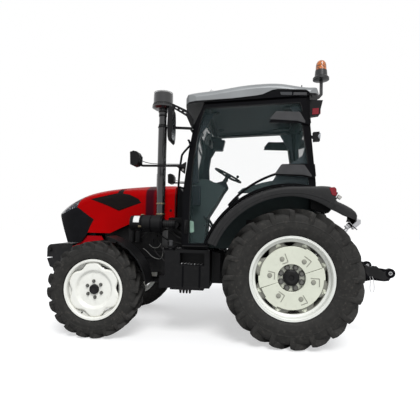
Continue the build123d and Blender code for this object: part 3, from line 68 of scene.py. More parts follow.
# ---------------------------------------------------------------- shader language
class Socket:
    """An output of a material's node tree that takes part in Python arithmetic."""

    def __init__(self, tree: "Tree", socket: bpy.types.NodeSocket) -> None:
        """Wraps a socket of the tree."""
        self.tree, self.socket = tree, socket

    def _math(self, operation: str, *terms: Any) -> "Socket":
        """Adds one Math node.

        Args:
            operation: the Math node's operation.
            terms: its inputs in order, as sockets or numbers.
        Returns:
            The node's result.
        """
        return self.tree.node("ShaderNodeMath", {"operation": operation}, dict(enumerate(terms)))

    def __add__(self, other: Any) -> "Socket":
        """This plus other."""
        return self._math("ADD", self, other)

    def __sub__(self, other: Any) -> "Socket":
        """This minus other."""
        return self._math("SUBTRACT", self, other)

    def __rsub__(self, other: Any) -> "Socket":
        """Other minus this."""
        return self._math("SUBTRACT", other, self)

    def __mul__(self, other: Any) -> "Socket":
        """This times other."""
        return self._math("MULTIPLY", self, other)

    def __pow__(self, other: Any) -> "Socket":
        """This to the power of other."""
        return self._math("POWER", self, other)

    def larger(self, other: Any) -> "Socket":
        """The larger of this and other."""
        return self._math("MAXIMUM", self, other)

    def sine(self) -> "Socket":
        """Sine of this, in radians."""
        return self._math("SINE", self)

    def ramp(self, low: float, high: float, to_low: float = 0.0, to_high: float = 1.0) -> "Socket":
        """Maps low..high to to_low..to_high with a smooth step, held at both ends."""
        values = {"Value": self, "From Min": low, "From Max": high, "To Min": to_low, "To Max": to_high}
        return self.tree.node("ShaderNodeMapRange", {"interpolation_type": "SMOOTHSTEP"}, values)

    def axis(self, name: str) -> "Socket":
        """One component, X, Y or Z, of a vector."""
        return self.tree.node("ShaderNodeSeparateXYZ", {}, {"Vector": self}, name)


class Tree:
    """The node tree of a new material or world, with one method that adds any node."""

    def __init__(self, owner: Material | bpy.types.World) -> None:
        """Empties the owner's tree."""
        self.owner = owner
        owner.use_nodes = True
        self.nodes, self.links = owner.node_tree.nodes, owner.node_tree.links
        self.nodes.clear()

    def node(self, kind: str, settings: dict[str, Any], inputs: dict[Any, Any],
            output: str | int = 0) -> Socket:
        """Adds a node.

        Args:
            kind: the node's type.
            settings: its properties, set first.
            inputs: a value or a Socket for each input, by name or by number.
            output: the output that is wanted.
        Returns:
            That output.
        """
        made = self.nodes.new(kind)
        for key, value in settings.items():
            setattr(made, key, value)
        for key, value in inputs.items():
            if isinstance(value, Socket):
                self.links.new(value.socket, made.inputs[key])
            elif value is not None:
                made.inputs[key].default_value = value
        return Socket(self, made.outputs[output])

    def place(self) -> Socket:
        """The point's place in the frame, in metres."""
        return self.node("ShaderNodeTexCoord", {}, {}, "Object")

    def normal(self) -> Socket:
        """The surface's own direction in the frame."""
        return self.node("ShaderNodeTexCoord", {}, {}, "Normal")

    def noise(self, scale: float, detail: float = 3.0, stretch: Vector | None = None,
            roughness: float = 0.5) -> Socket:
        """Noise from 0 to 1.

        Args:
            scale: features per metre.
            detail: octaves.
            stretch: factors along X, Y and Z.
            roughness: weight of the fine octaves.
        """
        place = self.place()
        if stretch is not None:
            place = self.node("ShaderNodeMapping", {}, {"Vector": place, "Scale": stretch})
        inputs = {"Vector": place, "Scale": scale, "Detail": detail, "Roughness": roughness}
        return self.node("ShaderNodeTexNoise", {}, inputs)

    def mix(self, factor: Any, first: Any, second: Any) -> Socket:
        """Colour from first, at factor 0, to second, at factor 1."""
        inputs = {0: factor, 6: _rgba(first), 7: _rgba(second)}
        return self.node("ShaderNodeMix", {"data_type": "RGBA"}, inputs, 2)

    def occlusion(self, distance: float) -> Socket:
        """1 on open faces, falling towards 0 in corners within distance."""
        return self.node("ShaderNodeAmbientOcclusion", {"samples": 4}, {"Distance": distance}, "AO")

    def bump(self, height: Any, distance: float, strength: float = 1.0) -> Socket:
        """Normal bent by a height map."""
        inputs = {"Height": height, "Distance": distance, "Strength": strength}
        return self.node("ShaderNodeBump", {}, inputs)

    def surface(self, **inputs: Any) -> Material:
        """Ends the tree in a Principled BSDF.

        Args:
            inputs: its sockets, with underscores for blanks; colours may have three parts.
        Returns:
            The finished material.
        """
        sockets = {key.replace("_", " "): _rgba(value) for key, value in inputs.items()}
        return self.ended(self.node("ShaderNodeBsdfPrincipled", {}, sockets), "ShaderNodeOutputMaterial")

    def ended(self, shader: Socket, output: str) -> Any:
        """Links a shader to an output of the given kind, and gives the tree's owner."""
        made = self.nodes.new(output)
        self.links.new(shader.socket, made.inputs["Surface"])
        return self.owner


def _rgba(value: Any) -> Any:
    """A three-part colour with its alpha added; anything else as it is."""
    if isinstance(value, tuple) and len(value) == 3:
        return (*value, 1.0)
    return value


# ---------------------------------------------------------------- finishes
@dataclass(frozen=True)
class Finish:
    """A surface finish; each kind makes one material the first time it is used."""

    name: str
    colour: Colour
    slot: str
    made: ClassVar[dict[str, Material]] = {}

    def material(self) -> Material:
        """The finish's material."""
        if self.name not in Finish.made:
            Finish.made[self.name] = self.build(Tree(bpy.data.materials.new(self.name)))
        return Finish.made[self.name]

    def build(self, tree: Tree) -> Material:
        """Fills the tree; each kind has its own."""
        raise NotImplementedError

    def shade(self, factor: float) -> Colour:
        """The finish's colour times a factor."""
        return tuple(min(1.0, part * factor) for part in self.colour)


@dataclass(frozen=True)
class Enamel(Finish):
    """Sprayed enamel with a clear coat, faint orange peel and a thin film of dust."""

    gloss: float = 0.22
    coat: float = 0.8
    dust: float = 0.12
    dust_colour: Colour = (0.34, 0.31, 0.27)
    shine: float = 0.3

    def build(self, tree: Tree) -> Material:
        """Colour drifts slowly; dust lies on upward faces; the peel is a millimetre-scale bump."""
        drift = tree.noise(3.0, 4.0)
        base = tree.mix(drift.ramp(0.3, 0.7), self.shade(0.9), self.shade(1.06))
        upward = tree.normal().axis("Z").ramp(0.2, 1.0)
        film = upward * tree.noise(9.0, 6.0).ramp(0.35, 0.75) * self.dust
        peel = tree.bump(tree.noise(420.0, 2.0), 0.0004, 0.25)
        return tree.surface(Base_Color=tree.mix(film, base, self.dust_colour),
            Roughness=film * 1.2 + drift * 0.08 + self.gloss, Specular_IOR_Level=self.shine, Normal=peel,
            Coat_Weight=self.coat, Coat_Roughness=0.08)


@dataclass(frozen=True)
class WheelPaint(Finish):
    """Baked wheel enamel, darkened in its corners by painted shade and blotched with dust."""

    # Colour of the dust and of the painted shade in corners.
    dust_and_shade_colour: Colour = (0.3, 0.28, 0.24)

    def build(self, tree: Tree) -> Material:
        """Corners darken by occlusion as painted shade, and blotches of dust break up the flat faces."""
        # Painted shade: ambient occlusion darkens the corners.
        corner = (1.0 - tree.occlusion(0.035)).ramp(0.25, 0.95) * 0.4
        blotch = tree.noise(16.0, 7.0, roughness=0.6).ramp(0.5, 0.85) * 0.22
        base = tree.mix(tree.noise(5.0).ramp(0.3, 0.7), self.shade(0.94), self.colour)
        dust_and_shade = corner + blotch
        peel = tree.bump(tree.noise(260.0, 2.0), 0.0005, 0.3)
        return tree.surface(Base_Color=tree.mix(dust_and_shade, base, self.dust_and_shade_colour), Roughness=dust_and_shade * 0.4 + 0.33,
            Normal=peel, Coat_Weight=0.25, Coat_Roughness=0.2)


@dataclass(frozen=True)
class Casting(Finish):
    """Painted iron casting: grainy skin, oil-darkened patches and pale dust."""

    grain: float = 90.0
    dust: float = 0.16

    def build(self, tree: Tree) -> Material:
        """Sand-cast grain as a bump, with dust in broad patches."""
        patches = tree.noise(7.0, 8.0, roughness=0.6)
        base = tree.mix(patches.ramp(0.35, 0.7), self.colour, self.shade(1.7))
        dusty = tree.mix(tree.noise(22.0, 6.0).ramp(0.5, 0.85) * self.dust, base, (0.1, 0.088, 0.075))
        skin = tree.bump(tree.noise(self.grain, 5.0), 0.0018, 0.5)
        return tree.surface(Base_Color=dusty, Roughness=patches * 0.25 + 0.42, Specular_IOR_Level=0.22,
            Normal=skin)


@dataclass(frozen=True)
class Moulded(Finish):
    """Moulded plastic with a leather-like grain."""

    roughness: float = 0.5
    grain: float = 620.0
    dust: float = 0.1
    shine: float = 0.22

    def build(self, tree: Tree) -> Material:
        """Fine cells as a bump; a little dust and sheen variation."""
        cells = tree.node("ShaderNodeTexVoronoi", {"feature": "SMOOTH_F1"},
            {"Vector": tree.place(), "Scale": self.grain})
        haze = tree.noise(11.0, 5.0)
        base = tree.mix(haze.ramp(0.3, 0.8), self.colour, self.shade(1.3))
        dusty = tree.mix(tree.noise(28.0, 6.0).ramp(0.55, 0.85) * self.dust, base, (0.16, 0.15, 0.13))
        return tree.surface(Base_Color=dusty, Roughness=haze * 0.2 + (self.roughness - 0.1),
            Specular_IOR_Level=self.shine, Normal=tree.bump(cells, 0.0004, 0.35))


@dataclass(frozen=True)
class TyreRubber(Finish):
    """Black tyre rubber, scuffed and dusty on the lugs and bead, with painted shade between the lugs."""

    def build(self, tree: Tree) -> Material:
        """Brown dust in blotches over black, painted shade in the hollows between the lugs, and a fine
        scuffed bump.
        """
        blotch = tree.noise(14.0, 8.0, roughness=0.65)
        scuff = tree.noise(120.0, 4.0)
        # Painted shade: ambient occlusion marks the hollows between the lugs.
        open_face = tree.occlusion(0.07).ramp(0.45, 0.88)
        base = tree.mix(blotch.ramp(0.35, 0.75), self.colour, self.shade(2.1))
        # Painted shade: the hollows are darkened to an eighth of the colour.
        deep = tree.mix(open_face, self.shade(0.12), base)
        dusty = tree.mix(tree.noise(34.0, 7.0).ramp(0.52, 0.85) * open_face * 0.4, deep,
            (0.105, 0.093, 0.08))
        height = scuff * 0.6 + blotch
        return tree.surface(Base_Color=dusty, Roughness=blotch * 0.25 + 0.55, Specular_IOR_Level=0.3,
            Normal=tree.bump(height, 0.0012, 0.5))


@dataclass(frozen=True)
class Glazing(Finish):
    """Tinted safety glass."""

    alpha: float = 0.14
    edge_alpha: float = 0.14
    roughness: float = 0.04

    def build(self, tree: Tree) -> Material:
        """A thin film of dust dulls the gloss in soft streaks; a pane seen edge-on looks denser."""
        slant = tree.node("ShaderNodeLayerWeight", {}, {"Blend": 0.5}, "Facing")
        streak = tree.noise(2.2, 5.0, Vector((1.0, 1.0, 0.35)))
        return tree.surface(Base_Color=tree.mix(streak.ramp(0.3, 0.8), self.colour, self.shade(1.4)),
            Roughness=streak * 0.05 + self.roughness, Alpha=slant.ramp(0.45, 0.9, self.alpha,
            self.edge_alpha))


@dataclass(frozen=True)
class Lens(Finish):
    """Coloured or clear lamp lens with moulded ribs."""

    alpha: float = 1.0
    ribs: float = 180.0

    def build(self, tree: Tree) -> Material:
        """Vertical ribs as a bump, and depth of colour from a slow noise."""
        wave = (tree.place().axis("Y") * (self.ribs * math.tau)).sine()
        base = tree.mix(tree.noise(60.0).ramp(0.3, 0.7), self.shade(0.75), self.colour)
        return tree.surface(Base_Color=base, Roughness=tree.noise(30.0) * 0.06 + 0.08, Alpha=self.alpha,
            Normal=tree.bump(wave, 0.0008, 0.4), Coat_Weight=0.25, Specular_IOR_Level=0.25)


@dataclass(frozen=True)
class Metal(Finish):
    """Bare or plated metal, brushed and a little tarnished."""

    roughness: float = 0.32
    tarnish: Colour = (0.16, 0.13, 0.1)

    def build(self, tree: Tree) -> Material:
        """Brush marks drawn out along Z, with tarnish in patches."""
        brush = tree.noise(240.0, 3.0, Vector((1.0, 1.0, 0.08)))
        patch = tree.noise(24.0, 7.0, roughness=0.65).ramp(0.5, 0.8)
        return tree.surface(Base_Color=tree.mix(patch * 0.55, self.colour, self.tarnish),
            Metallic=1.0 - patch * 0.6, Roughness=brush * 0.14 + self.roughness,
            Normal=tree.bump(brush, 0.0003, 0.3))


@dataclass(frozen=True)
class Cloth(Finish):
    """Woven upholstery."""

    threads: float = 520.0

    def build(self, tree: Tree) -> Material:
        """Warp and weft as two crossed sine waves."""
        turn = self.threads * math.tau
        warp = (tree.place().axis("Y") * turn).sine()
        weft = ((tree.place().axis("X") + tree.place().axis("Z")) * turn).sine()
        weave = warp * weft
        base = tree.mix(weave.ramp(-1.0, 1.0), self.shade(0.7), self.shade(1.4))
        return tree.surface(Base_Color=base, Roughness=weave * 0.05 + 0.85,
            Normal=tree.bump(weave, 0.0008, 0.6), Sheen_Weight=0.3)


@dataclass(frozen=True)
class HoodEnamel(Enamel):
    """Hood enamel with a painted shadow of the intake stack as a dark band ahead of the rear edge, painted
    light behind it, and painted shade darker towards the top.
    """

    # Where the painted shadow of the intake stack rises and falls along X.
    band: tuple[float, float, float, float] = (-0.845, -0.815, -0.745, -0.665)
    # Colour of the painted shadow.
    painted_shadow_colour: Colour = (0.045, 0.003, 0.008)

    def build(self, tree: Tree) -> Material:
        """The painted shadow rises sharply at its front edge and fades towards the rear; behind it the red
        is lifted as painted light, and the red darkens upwards as painted shade.
        """
        along = tree.place().axis("X")
        # Painted shadow of the intake stack: rise and fall bound the band.
        rise = along.ramp(self.band[0], self.band[1])
        fall = along.ramp(self.band[2], self.band[3], 1.0, 0.0)
        # Painted shade: the red is scaled darker towards the top of the hood.
        low = tree.place().axis("Z").ramp(1.05, 1.75, 1.12, 0.92)
        # Painted light: behind the band the red is lifted by more than half.
        behind = along.ramp(self.band[3] - 0.02, self.band[3] + 0.02, 1.0, 1.55)
        drift = tree.noise(3.0, 4.0)
        base = tree.mix(drift.ramp(0.3, 0.7), self.shade(0.93), self.shade(1.05))
        lit = tree.node("ShaderNodeVectorMath", {"operation": "SCALE"}, {0: base, "Scale": low * behind})
        upward = tree.normal().axis("Z").ramp(0.4, 1.0)
        film = upward * tree.noise(9.0, 6.0).ramp(0.4, 0.75) * self.dust
        # The painted shadow laid over the red.
        with_painted_shadow = tree.mix(rise * fall, lit, self.painted_shadow_colour)
        peel = tree.bump(tree.noise(420.0, 2.0), 0.0004, 0.25)
        return tree.surface(Base_Color=tree.mix(film, with_painted_shadow, self.dust_colour),
            Roughness=film * 1.2 + drift * 0.08 + self.gloss, Specular_IOR_Level=self.shine, Normal=peel,
            Coat_Weight=self.coat, Coat_Roughness=0.06)


@dataclass(frozen=True)
class GrilleBlack(Finish):
    """Nose moulding ahead, and woven wire mesh in the side vents."""

    split: float = -1.6
    wire: Colour = (0.017, 0.012, 0.011)

    def build(self, tree: Tree) -> Material:
        """Wires are two crossed sine waves along the vent; holes between them are painted darker, as
        painted shade seen through the mesh.
        """
        vents = tree.place().axis("X").ramp(self.split - 0.005, self.split + 0.005)
        pitch = math.tau / 0.0062
        across = (tree.place().axis("X") * pitch).sine()
        up = (tree.place().axis("Z") * pitch).sine()
        weave = across * up
        wires = weave.ramp(-0.15, 0.35)
        # Painted shade: the holes between the wires are near black.
        mesh = tree.mix(wires, self.shade(0.25), self.wire)
        mould = tree.mix(tree.noise(9.0).ramp(0.35, 0.75), self.colour, self.shade(1.5))
        grain = tree.noise(700.0, 2.0) * (1.0 - vents) + weave * vents * 1.5
        return tree.surface(Base_Color=tree.mix(vents, mould, mesh), Roughness=vents * 0.22 + 0.36,
            Specular_IOR_Level=0.06, Normal=tree.bump(grain, 0.0008, 0.4))


@dataclass(frozen=True)
class RoofSkin(Moulded):
    """Silver-grey moulded cap whose underside and lower lip are black."""

    under: Colour = (0.008, 0.008, 0.009)

    def build(self, tree: Tree) -> Material:
        """Faces that look down are black, and so is a lip that follows z = 2.722 + 0.055 x."""
        down = tree.normal().axis("Z").ramp(-0.75, -0.55, 1.0, 0.0)
        lip = tree.place().axis("Z") - tree.place().axis("X") * 0.055
        low = lip.ramp(2.7465, 2.7475, 1.0, 0.0)
        dark = down.larger(low)
        haze = tree.noise(4.0, 5.0)
        silver = tree.mix(haze.ramp(0.3, 0.75), self.shade(0.92), self.shade(1.05))
        dusty = tree.mix(tree.noise(26.0, 6.0).ramp(0.5, 0.85) * self.dust, silver, (0.22, 0.21, 0.19))
        flakes = tree.noise(900.0, 2.0)
        return tree.surface(Base_Color=tree.mix(dark, dusty, self.under),
            Roughness=haze * 0.12 + self.roughness, Metallic=(1.0 - dark) * 0.25,
            Specular_IOR_Level=0.12, Normal=tree.bump(flakes, 0.0002, 0.3))


@dataclass(frozen=True)
class RadialPaint(WheelPaint):
    """Wheel paint with painted shade: darker inside a radius about the axle, where the disc lies set back
    in the rim.
    """

    axle: Pair = (0.0, 0.0)
    disc: float = 0.392
    # Painted shade colour of the set-back disc.
    painted_disc_shade: Colour = (0.23, 0.23, 0.2)

    def build(self, tree: Tree) -> Material:
        """Radius is the root of (x - x0)^2 + (z - z0)^2; the disc is painted darker than the rim round it
        as painted shade of its recess, and corners darken by occlusion as painted shade.
        """
        across = tree.place().axis("X") - self.axle[0]
        up = tree.place().axis("Z") - self.axle[1]
        radius = (across * across + up * up) ** 0.5
        # Painted shade: ambient occlusion darkens the corners.
        corner = (1.0 - tree.occlusion(0.03)).ramp(0.2, 0.9) * 0.4
        blotch = tree.noise(16.0, 7.0, roughness=0.6).ramp(0.5, 0.85) * 0.18
        paint = tree.mix(tree.noise(5.0).ramp(0.3, 0.7), self.shade(0.95), self.colour)
        # Painted shade: inside the disc radius the colour turns to the darker disc shade.
        shaded = tree.mix(radius.ramp(self.disc, self.disc + 0.003), self.painted_disc_shade, paint)
        dust_and_shade = corner + blotch
        peel = tree.bump(tree.noise(260.0, 2.0), 0.0005, 0.3)
        return tree.surface(Base_Color=tree.mix(dust_and_shade, shaded, self.dust_and_shade_colour), Roughness=dust_and_shade * 0.4 + 0.33,
            Normal=peel, Coat_Weight=0.2, Coat_Roughness=0.2)


@dataclass(frozen=True)
class BeaconFinish(Finish):
    """Amber dome over a black base, split by height."""

    split: float = 3.127
    base: Colour = (0.012, 0.012, 0.013)

    def build(self, tree: Tree) -> Material:
        """Fine rings are moulded in the dome."""
        dome = tree.place().axis("Z").ramp(self.split - 0.0005, self.split + 0.0005)
        rings = (tree.place().axis("Z") * (math.tau / 0.007)).sine()
        amber = tree.mix(tree.noise(55.0, 1.0).ramp(0.42, 0.58), self.shade(0.25), self.colour)
        return tree.surface(Base_Color=tree.mix(dome, self.base, amber), Roughness=0.34 - dome * 0.2,
            Normal=tree.bump(rings * dome, 0.0006, 0.5), Coat_Weight=dome * 0.6)


@dataclass(frozen=True)
class Screen(Finish):
    """Switched-off display with a faint sheen."""

    def build(self, tree: Tree) -> Material:
        """Slow noise varies the sheen."""
        haze = tree.noise(12.0, 4.0)
        base = tree.mix(haze.ramp(0.3, 0.7), self.colour, self.shade(1.6))
        return tree.surface(Base_Color=base, Roughness=haze * 0.08 + 0.08, Coat_Weight=0.5)


RED = Enamel("panel_red", (0.37, 0.001, 0.005), "body_red", 0.34, 0.02, 0.01, shine=0.05)
HOOD_RED = HoodEnamel("hood_red", (0.38, 0.0002, 0.001), "body_red", gloss=0.34, coat=0.015, dust=0.004,
    shine=0.03)
BLACK_ENAMEL = Enamel("black_enamel", (0.004, 0.004, 0.005), "black_paint", 0.32, 0.02, 0.02,
    (0.1, 0.09, 0.08), 0.04)
REAR_WHEEL = RadialPaint("rear_wheel", (0.8, 0.81, 0.76), "wheel_paint", axle=(0.95, 0.755))
WHEEL_WARM = WheelPaint("wheel_warm_white", (0.88, 0.88, 0.82), "wheel_paint")
WEIGHT_IVORY = WheelPaint("weight_ivory", (0.72, 0.74, 0.62), "wheel_paint")
STUD_GREY = WheelPaint("stud_grey", (0.3, 0.3, 0.25), "wheel_paint")
NUT_DARK = Metal("nut_dark", (0.16, 0.16, 0.15), "steel", 0.45, (0.05, 0.04, 0.035))
NUT_GREY = Metal("nut_grey", (0.42, 0.41, 0.39), "steel", 0.42)
CAST_BLACK = Casting("cast_black", (0.006, 0.006, 0.0065), "cast_black")
PLASTIC = Moulded("black_plastic", (0.0055, 0.0055, 0.006), "black_plastic", dust=0.04, shine=0.14)
HEADLINER = Moulded("headliner_cloth", (0.008, 0.013, 0.015), "black_plastic", 0.7, 500.0, 0.03)
POST_TRIM = Moulded("post_trim", (0.004, 0.007, 0.011), "black_plastic", 0.6, 500.0, 0.02)
QUARTER_TRIM = Moulded("quarter_trim", (0.03, 0.04, 0.046), "black_plastic", 0.6, 500.0, 0.05)
FENDER_PLASTIC = Moulded("fender_plastic", (0.01, 0.01, 0.0105), "black_plastic", 0.42, 620.0, 0.12, 0.28)
INTAKE_BLACK = Enamel("intake_black", (0.009, 0.009, 0.01), "black_paint", 0.2, 0.6, 0.02,
    (0.1, 0.09, 0.08), 0.5)
HINGE_GREY = Moulded("hinge_grey", (0.043, 0.043, 0.045), "black_plastic", 0.5, 620.0, 0.1)
SAFETY_GREEN = Moulded("safety_patch", (0.26, 0.4, 0.32), "glass", 0.4, 400.0, 0.05)
LINK_ZINC = Enamel("link_zinc", (0.5, 0.5, 0.51), "steel", 0.35, 0.2, 0.1)
CAB_TRIM = Moulded("cab_trim", (0.026, 0.039, 0.039), "black_plastic", 0.6, 500.0, 0.04)
SEAL = Moulded("seal_rubber", (0.008, 0.008, 0.008), "black_plastic", 0.7, 900.0, 0.04)
HOSE = Moulded("hose_rubber", (0.012, 0.012, 0.012), "black_plastic", 0.55, 700.0, 0.1)
PALE_HOSE = Moulded("pale_sleeve", (0.2, 0.2, 0.19), "steel", 0.5, 500.0, 0.1)
PLATE_WHITE = Enamel("blank_plate", (0.82, 0.83, 0.82), "wheel_paint", 0.35, 0.2, 0.1)
ROOF_GREY = RoofSkin("roof_grey", (0.27, 0.28, 0.285), "roof_grey", 0.34, 900.0, 0.05)
RUBBER = TyreRubber("tyre_rubber", (0.011, 0.0105, 0.0095), "tyre")
CAB_GLASS = Glazing("cab_glass", (0.3, 0.45, 0.45), "glass", 0.016, 0.016)
SCREEN_GLASS = Glazing("screen_glass", (0.03, 0.055, 0.055), "glass", 0.16, 0.95)
LAMP_CLEAR = Lens("lamp_clear", (0.05, 0.062, 0.08), "lamp", 0.4, 45.0)
WORK_LENS = Lens("work_lens", (0.55, 0.57, 0.59), "lamp", 1.0, 110.0)
LAMP_DARK = Screen("lamp_dark", (0.012, 0.014, 0.018), "lamp")
CHROME = Metal("chrome", (0.82, 0.83, 0.85), "steel", 0.1, (0.3, 0.3, 0.3))
MIRROR = Metal("mirror_glass", (0.32, 0.34, 0.36), "steel", 0.12, (0.25, 0.26, 0.27))
LENS_RED = Lens("lens_red", (0.24, 0.004, 0.014), "red_lens")
LENS_RED_CAP = Moulded("coupler_red", (0.38, 0.02, 0.02), "red_lens", 0.45)
LENS_ORANGE = Lens("lens_orange", (0.8, 0.2, 0.01), "amber", 1.0, 120.0)
BEACON_AMBER = BeaconFinish("beacon_amber", (0.62, 0.15, 0.004), "amber")
GRILLE = GrilleBlack("grille_black", (0.005, 0.005, 0.006), "black_plastic")
STEEL = Metal("bright_steel", (0.62, 0.62, 0.63), "steel")
CLAMP_BRASS = Metal("clamp_plating", (0.24, 0.2, 0.13), "steel", 0.45)
DARK_SCREEN = Screen("display", (0.01, 0.014, 0.02), "black_plastic")
FABRIC = Cloth("seat_cloth", (0.02, 0.02, 0.024), "fabric")

FINISH_NODES = {
    CAST_BLACK: "front_weights front_frame front_axle engine gearbox rear_axle knuckle_left knuckle_right",
    BLACK_ENAMEL: "steering_cylinder drawbar exhaust_stack bulkhead cab_frame roof_bands door_left "
        "door_right tie_rod lower_links lift_arms lift_rods",
    STEEL: "pto top_link steering_rod",
    PLASTIC: "fuel_tank battery_box air_filter steering_wheel mirrors front_lamps rear_lamps "
        "mudguard_left mudguard_right",
    INTAKE_BLACK: "intake_stack",
    RED: "side_covers",
    CAB_TRIM: "cab_floor console",
    ROOF_GREY: "cab_roof",
    SCREEN_GLASS: "cab_glass",
    FENDER_PLASTIC: "fender_left fender_right",
    FABRIC: "seat",
    BEACON_AMBER: "beacon",
    HOOD_RED: "hood_shell",
    GRILLE: "hood_grille",
    LAMP_CLEAR: "headlamps",
    CAB_GLASS: "door_glass_left door_glass_right",
    RUBBER: "tyre_front_left tyre_front_right tyre_rear_left tyre_rear_right",
    WHEEL_WARM: "rim_front_left rim_front_right",
    REAR_WHEEL: "rim_rear_left rim_rear_right",
}
NODE_FINISH = {name: finish for finish, names in FINISH_NODES.items() for name in names.split()}


def dress_nodes() -> None:
    """Gives every CAD node its finish."""
    for name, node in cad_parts.items():
        node.data.materials.clear()
        node.data.materials.append(NODE_FINISH[name].material())
    LOG.info("dressed %d frame nodes", len(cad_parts))


# ---------------------------------------------------------------- surfaces
@dataclass
class Shape:
    """Points and faces of a surface, before it becomes a mesh."""

    points: Array
    faces: list[list[int]]

    def __add__(self, other: "Shape") -> "Shape":
        """Both shapes as one."""
        shift = len(self.points)
        moved = [[index + shift for index in face] for face in other.faces]
        return Shape(np.vstack([self.points, other.points]), self.faces + moved)

    def moved(self, x: float = 0.0, y: float = 0.0, z: float = 0.0) -> "Shape":
        """The shape shifted."""
        return Shape(self.points + np.array([x, y, z]), self.faces)

    def turned(self, matrix: Matrix) -> "Shape":
        """The shape carried through a 4x4 matrix."""
        full = np.array(matrix)
        return Shape(self.points @ full[:3, :3].T + full[:3, 3], self.faces)

    def mirrored(self) -> "Shape":
        """The shape on the tractor's other side."""
        return Shape(self.points * np.array([1.0, -1.0, 1.0]), [face[::-1] for face in self.faces])

    def on(self, side: int) -> "Shape":
        """The left side's shape, on the left at -1 or on the right at 1."""
        return self if side < 0 else self.mirrored()


def merged(shapes: Iterable[Shape]) -> Shape:
    """All the shapes as one."""
    total = Shape(np.zeros((0, 3)), [])
    for shape in shapes:
        total = total + shape
    return total


def grid(points: Array, close_u: bool = False, close_v: bool = False) -> Shape:
    """Quads over a grid of points: u runs along the first index, v along the second.

    Args:
        points: array of shape (u, v, 3).
        close_u, close_v: whether the last row or column joins the first.
    Returns:
        The surface; face (i, j) holds points (i, j), (i+1, j), (i+1, j+1), (i, j+1).
    """
    rows, columns = points.shape[:2]
    i, j = np.meshgrid(np.arange(rows - (not close_u)), np.arange(columns - (not close_v)), indexing="ij")
    i2, j2 = (i + 1) % rows, (j + 1) % columns
    quads = np.stack([i * columns + j, i2 * columns + j, i2 * columns + j2, i * columns + j2], axis=-1)
    return Shape(points.reshape(-1, 3), quads.reshape(-1, 4).tolist())


def frame_of(axis: Vector) -> tuple[Array, Array, Array]:
    """Unit axis and two unit directions square to it and to each other."""
    along = np.array(Vector(axis).normalized())
    helper = np.array([0.0, 0.0, 1.0]) if abs(along[2]) < 0.9 else np.array([1.0, 0.0, 0.0])
    side = np.cross(helper, along)
    side /= np.linalg.norm(side)
    return along, side, np.cross(along, side)


def lathe(profile: Outline, centre: Sequence[float], axis: Sequence[float], count: int = 48,
        closed: bool = True) -> Shape:
    """Surface of revolution: centre + along * axis + radius * (cos a, sin a) over a full turn.

    Args:
        profile: (along, radius) pairs in metres.
        centre, axis: where and along which direction the profile stands.
        count: points round the turn.
        closed: whether the profile's last point joins its first.
    Returns:
        The surface.
    """
    along, side, up = frame_of(Vector(axis))
    angle = np.linspace(0.0, math.tau, count, endpoint=False)
    ring = np.cos(angle)[:, None] * side + np.sin(angle)[:, None] * up
    table = np.array(profile)
    points = np.array(centre) + table[None, :, :1] * along + table[None, :, 1:] * ring[:, None, :]
    return grid(points, close_u=True, close_v=closed)


def spline(points: Sequence[Sequence[float]], count: int) -> Array:
    """Smooth path through the points: cubic blend of four neighbours, ends repeated.

    Args:
        points: what the path passes through.
        count: points wanted.
    Returns:
        Array of shape (count, dimensions).
    """
    given = np.array(points, dtype=float)
    padded = np.vstack([2 * given[0] - given[1], given, 2 * given[-1] - given[-2]])
    place = np.linspace(0.0, len(given) - 1, count)
    first = np.minimum(place.astype(int), len(given) - 2)
    t = (place - first)[:, None]
    p0, p1, p2, p3 = (padded[first + k] for k in range(4))
    return 0.5 * (2 * p1 + (p2 - p0) * t + (2 * p0 - 5 * p1 + 4 * p2 - p3) * t ** 2
        + (3 * p1 - p0 - 3 * p2 + p3) * t ** 3)


def tube(path: Array, radius: float | Array, sides: int = 12, flat: float = 1.0) -> Shape:
    """Round or oval section carried along a path, closed at both ends.

    The section at each point is radius * (cos a, flat * sin a) in the plane square to the path.

    Args:
        path: array of shape (n, 3).
        radius: one radius, or one for each point.
        sides: points round the section.
        flat: the second half-axis over the first.
    Returns:
        The surface.
    """
    path = np.asarray(path, dtype=float)
    sizes = np.broadcast_to(np.asarray(radius, dtype=float), (len(path),))
    ahead = np.gradient(path, axis=0)
    ahead /= np.linalg.norm(ahead, axis=1, keepdims=True)
    spread = path.max(axis=0) - path.min(axis=0)
    helper = np.eye(3)[int(np.argmin(spread))]
    side = np.cross(ahead, helper)
    side /= np.maximum(np.linalg.norm(side, axis=1, keepdims=True), 1e-9)
    up = np.cross(side, ahead)
    path = np.vstack([path[:1], path, path[-1:]])
    side, up = (np.vstack([v[:1], v, v[-1:]]) for v in (side, up))
    sizes = np.concatenate([[1e-7], sizes, [1e-7]])
    angle = np.linspace(0.0, math.tau, sides, endpoint=False)
    ring = np.cos(angle)[None, :, None] * side[:, None, :] + flat * np.sin(angle)[None, :, None] * up[:,
        None, :]
    return grid(path[:, None, :] + sizes[:, None, None] * ring, close_v=True)


def prism(outline: Outline, low: float, high: float, axis: str = "Y") -> Shape:
    """Outline carried straight from low to high along an axis, with both ends closed.

    Args:
        outline: points in the other two axes: (x, z) for Y, (y, z) for X, (x, y) for Z.
        low, high: the ends along the axis.
        axis: X, Y or Z.
    Returns:
        The closed form.
    """
    flat = np.array(outline, dtype=float)
    order = {"X": [2, 0, 1], "Y": [0, 2, 1], "Z": [0, 1, 2]}[axis]
    walls = [np.column_stack([flat, np.full(len(flat), level)])[:, order] for level in (low, high)]
    shape = grid(np.stack(walls), close_v=True)
    count = len(flat)
    return Shape(shape.points, shape.faces + [list(range(count))[::-1], list(range(count, 2 * count))])


def block(low: Sequence[float], high: Sequence[float]) -> Shape:
    """Square block between two corners, for a bevel to finish."""
    return prism([(low[0], low[2]), (high[0], low[2]), (high[0], high[2]), (low[0], high[2])], low[1],
        high[1])


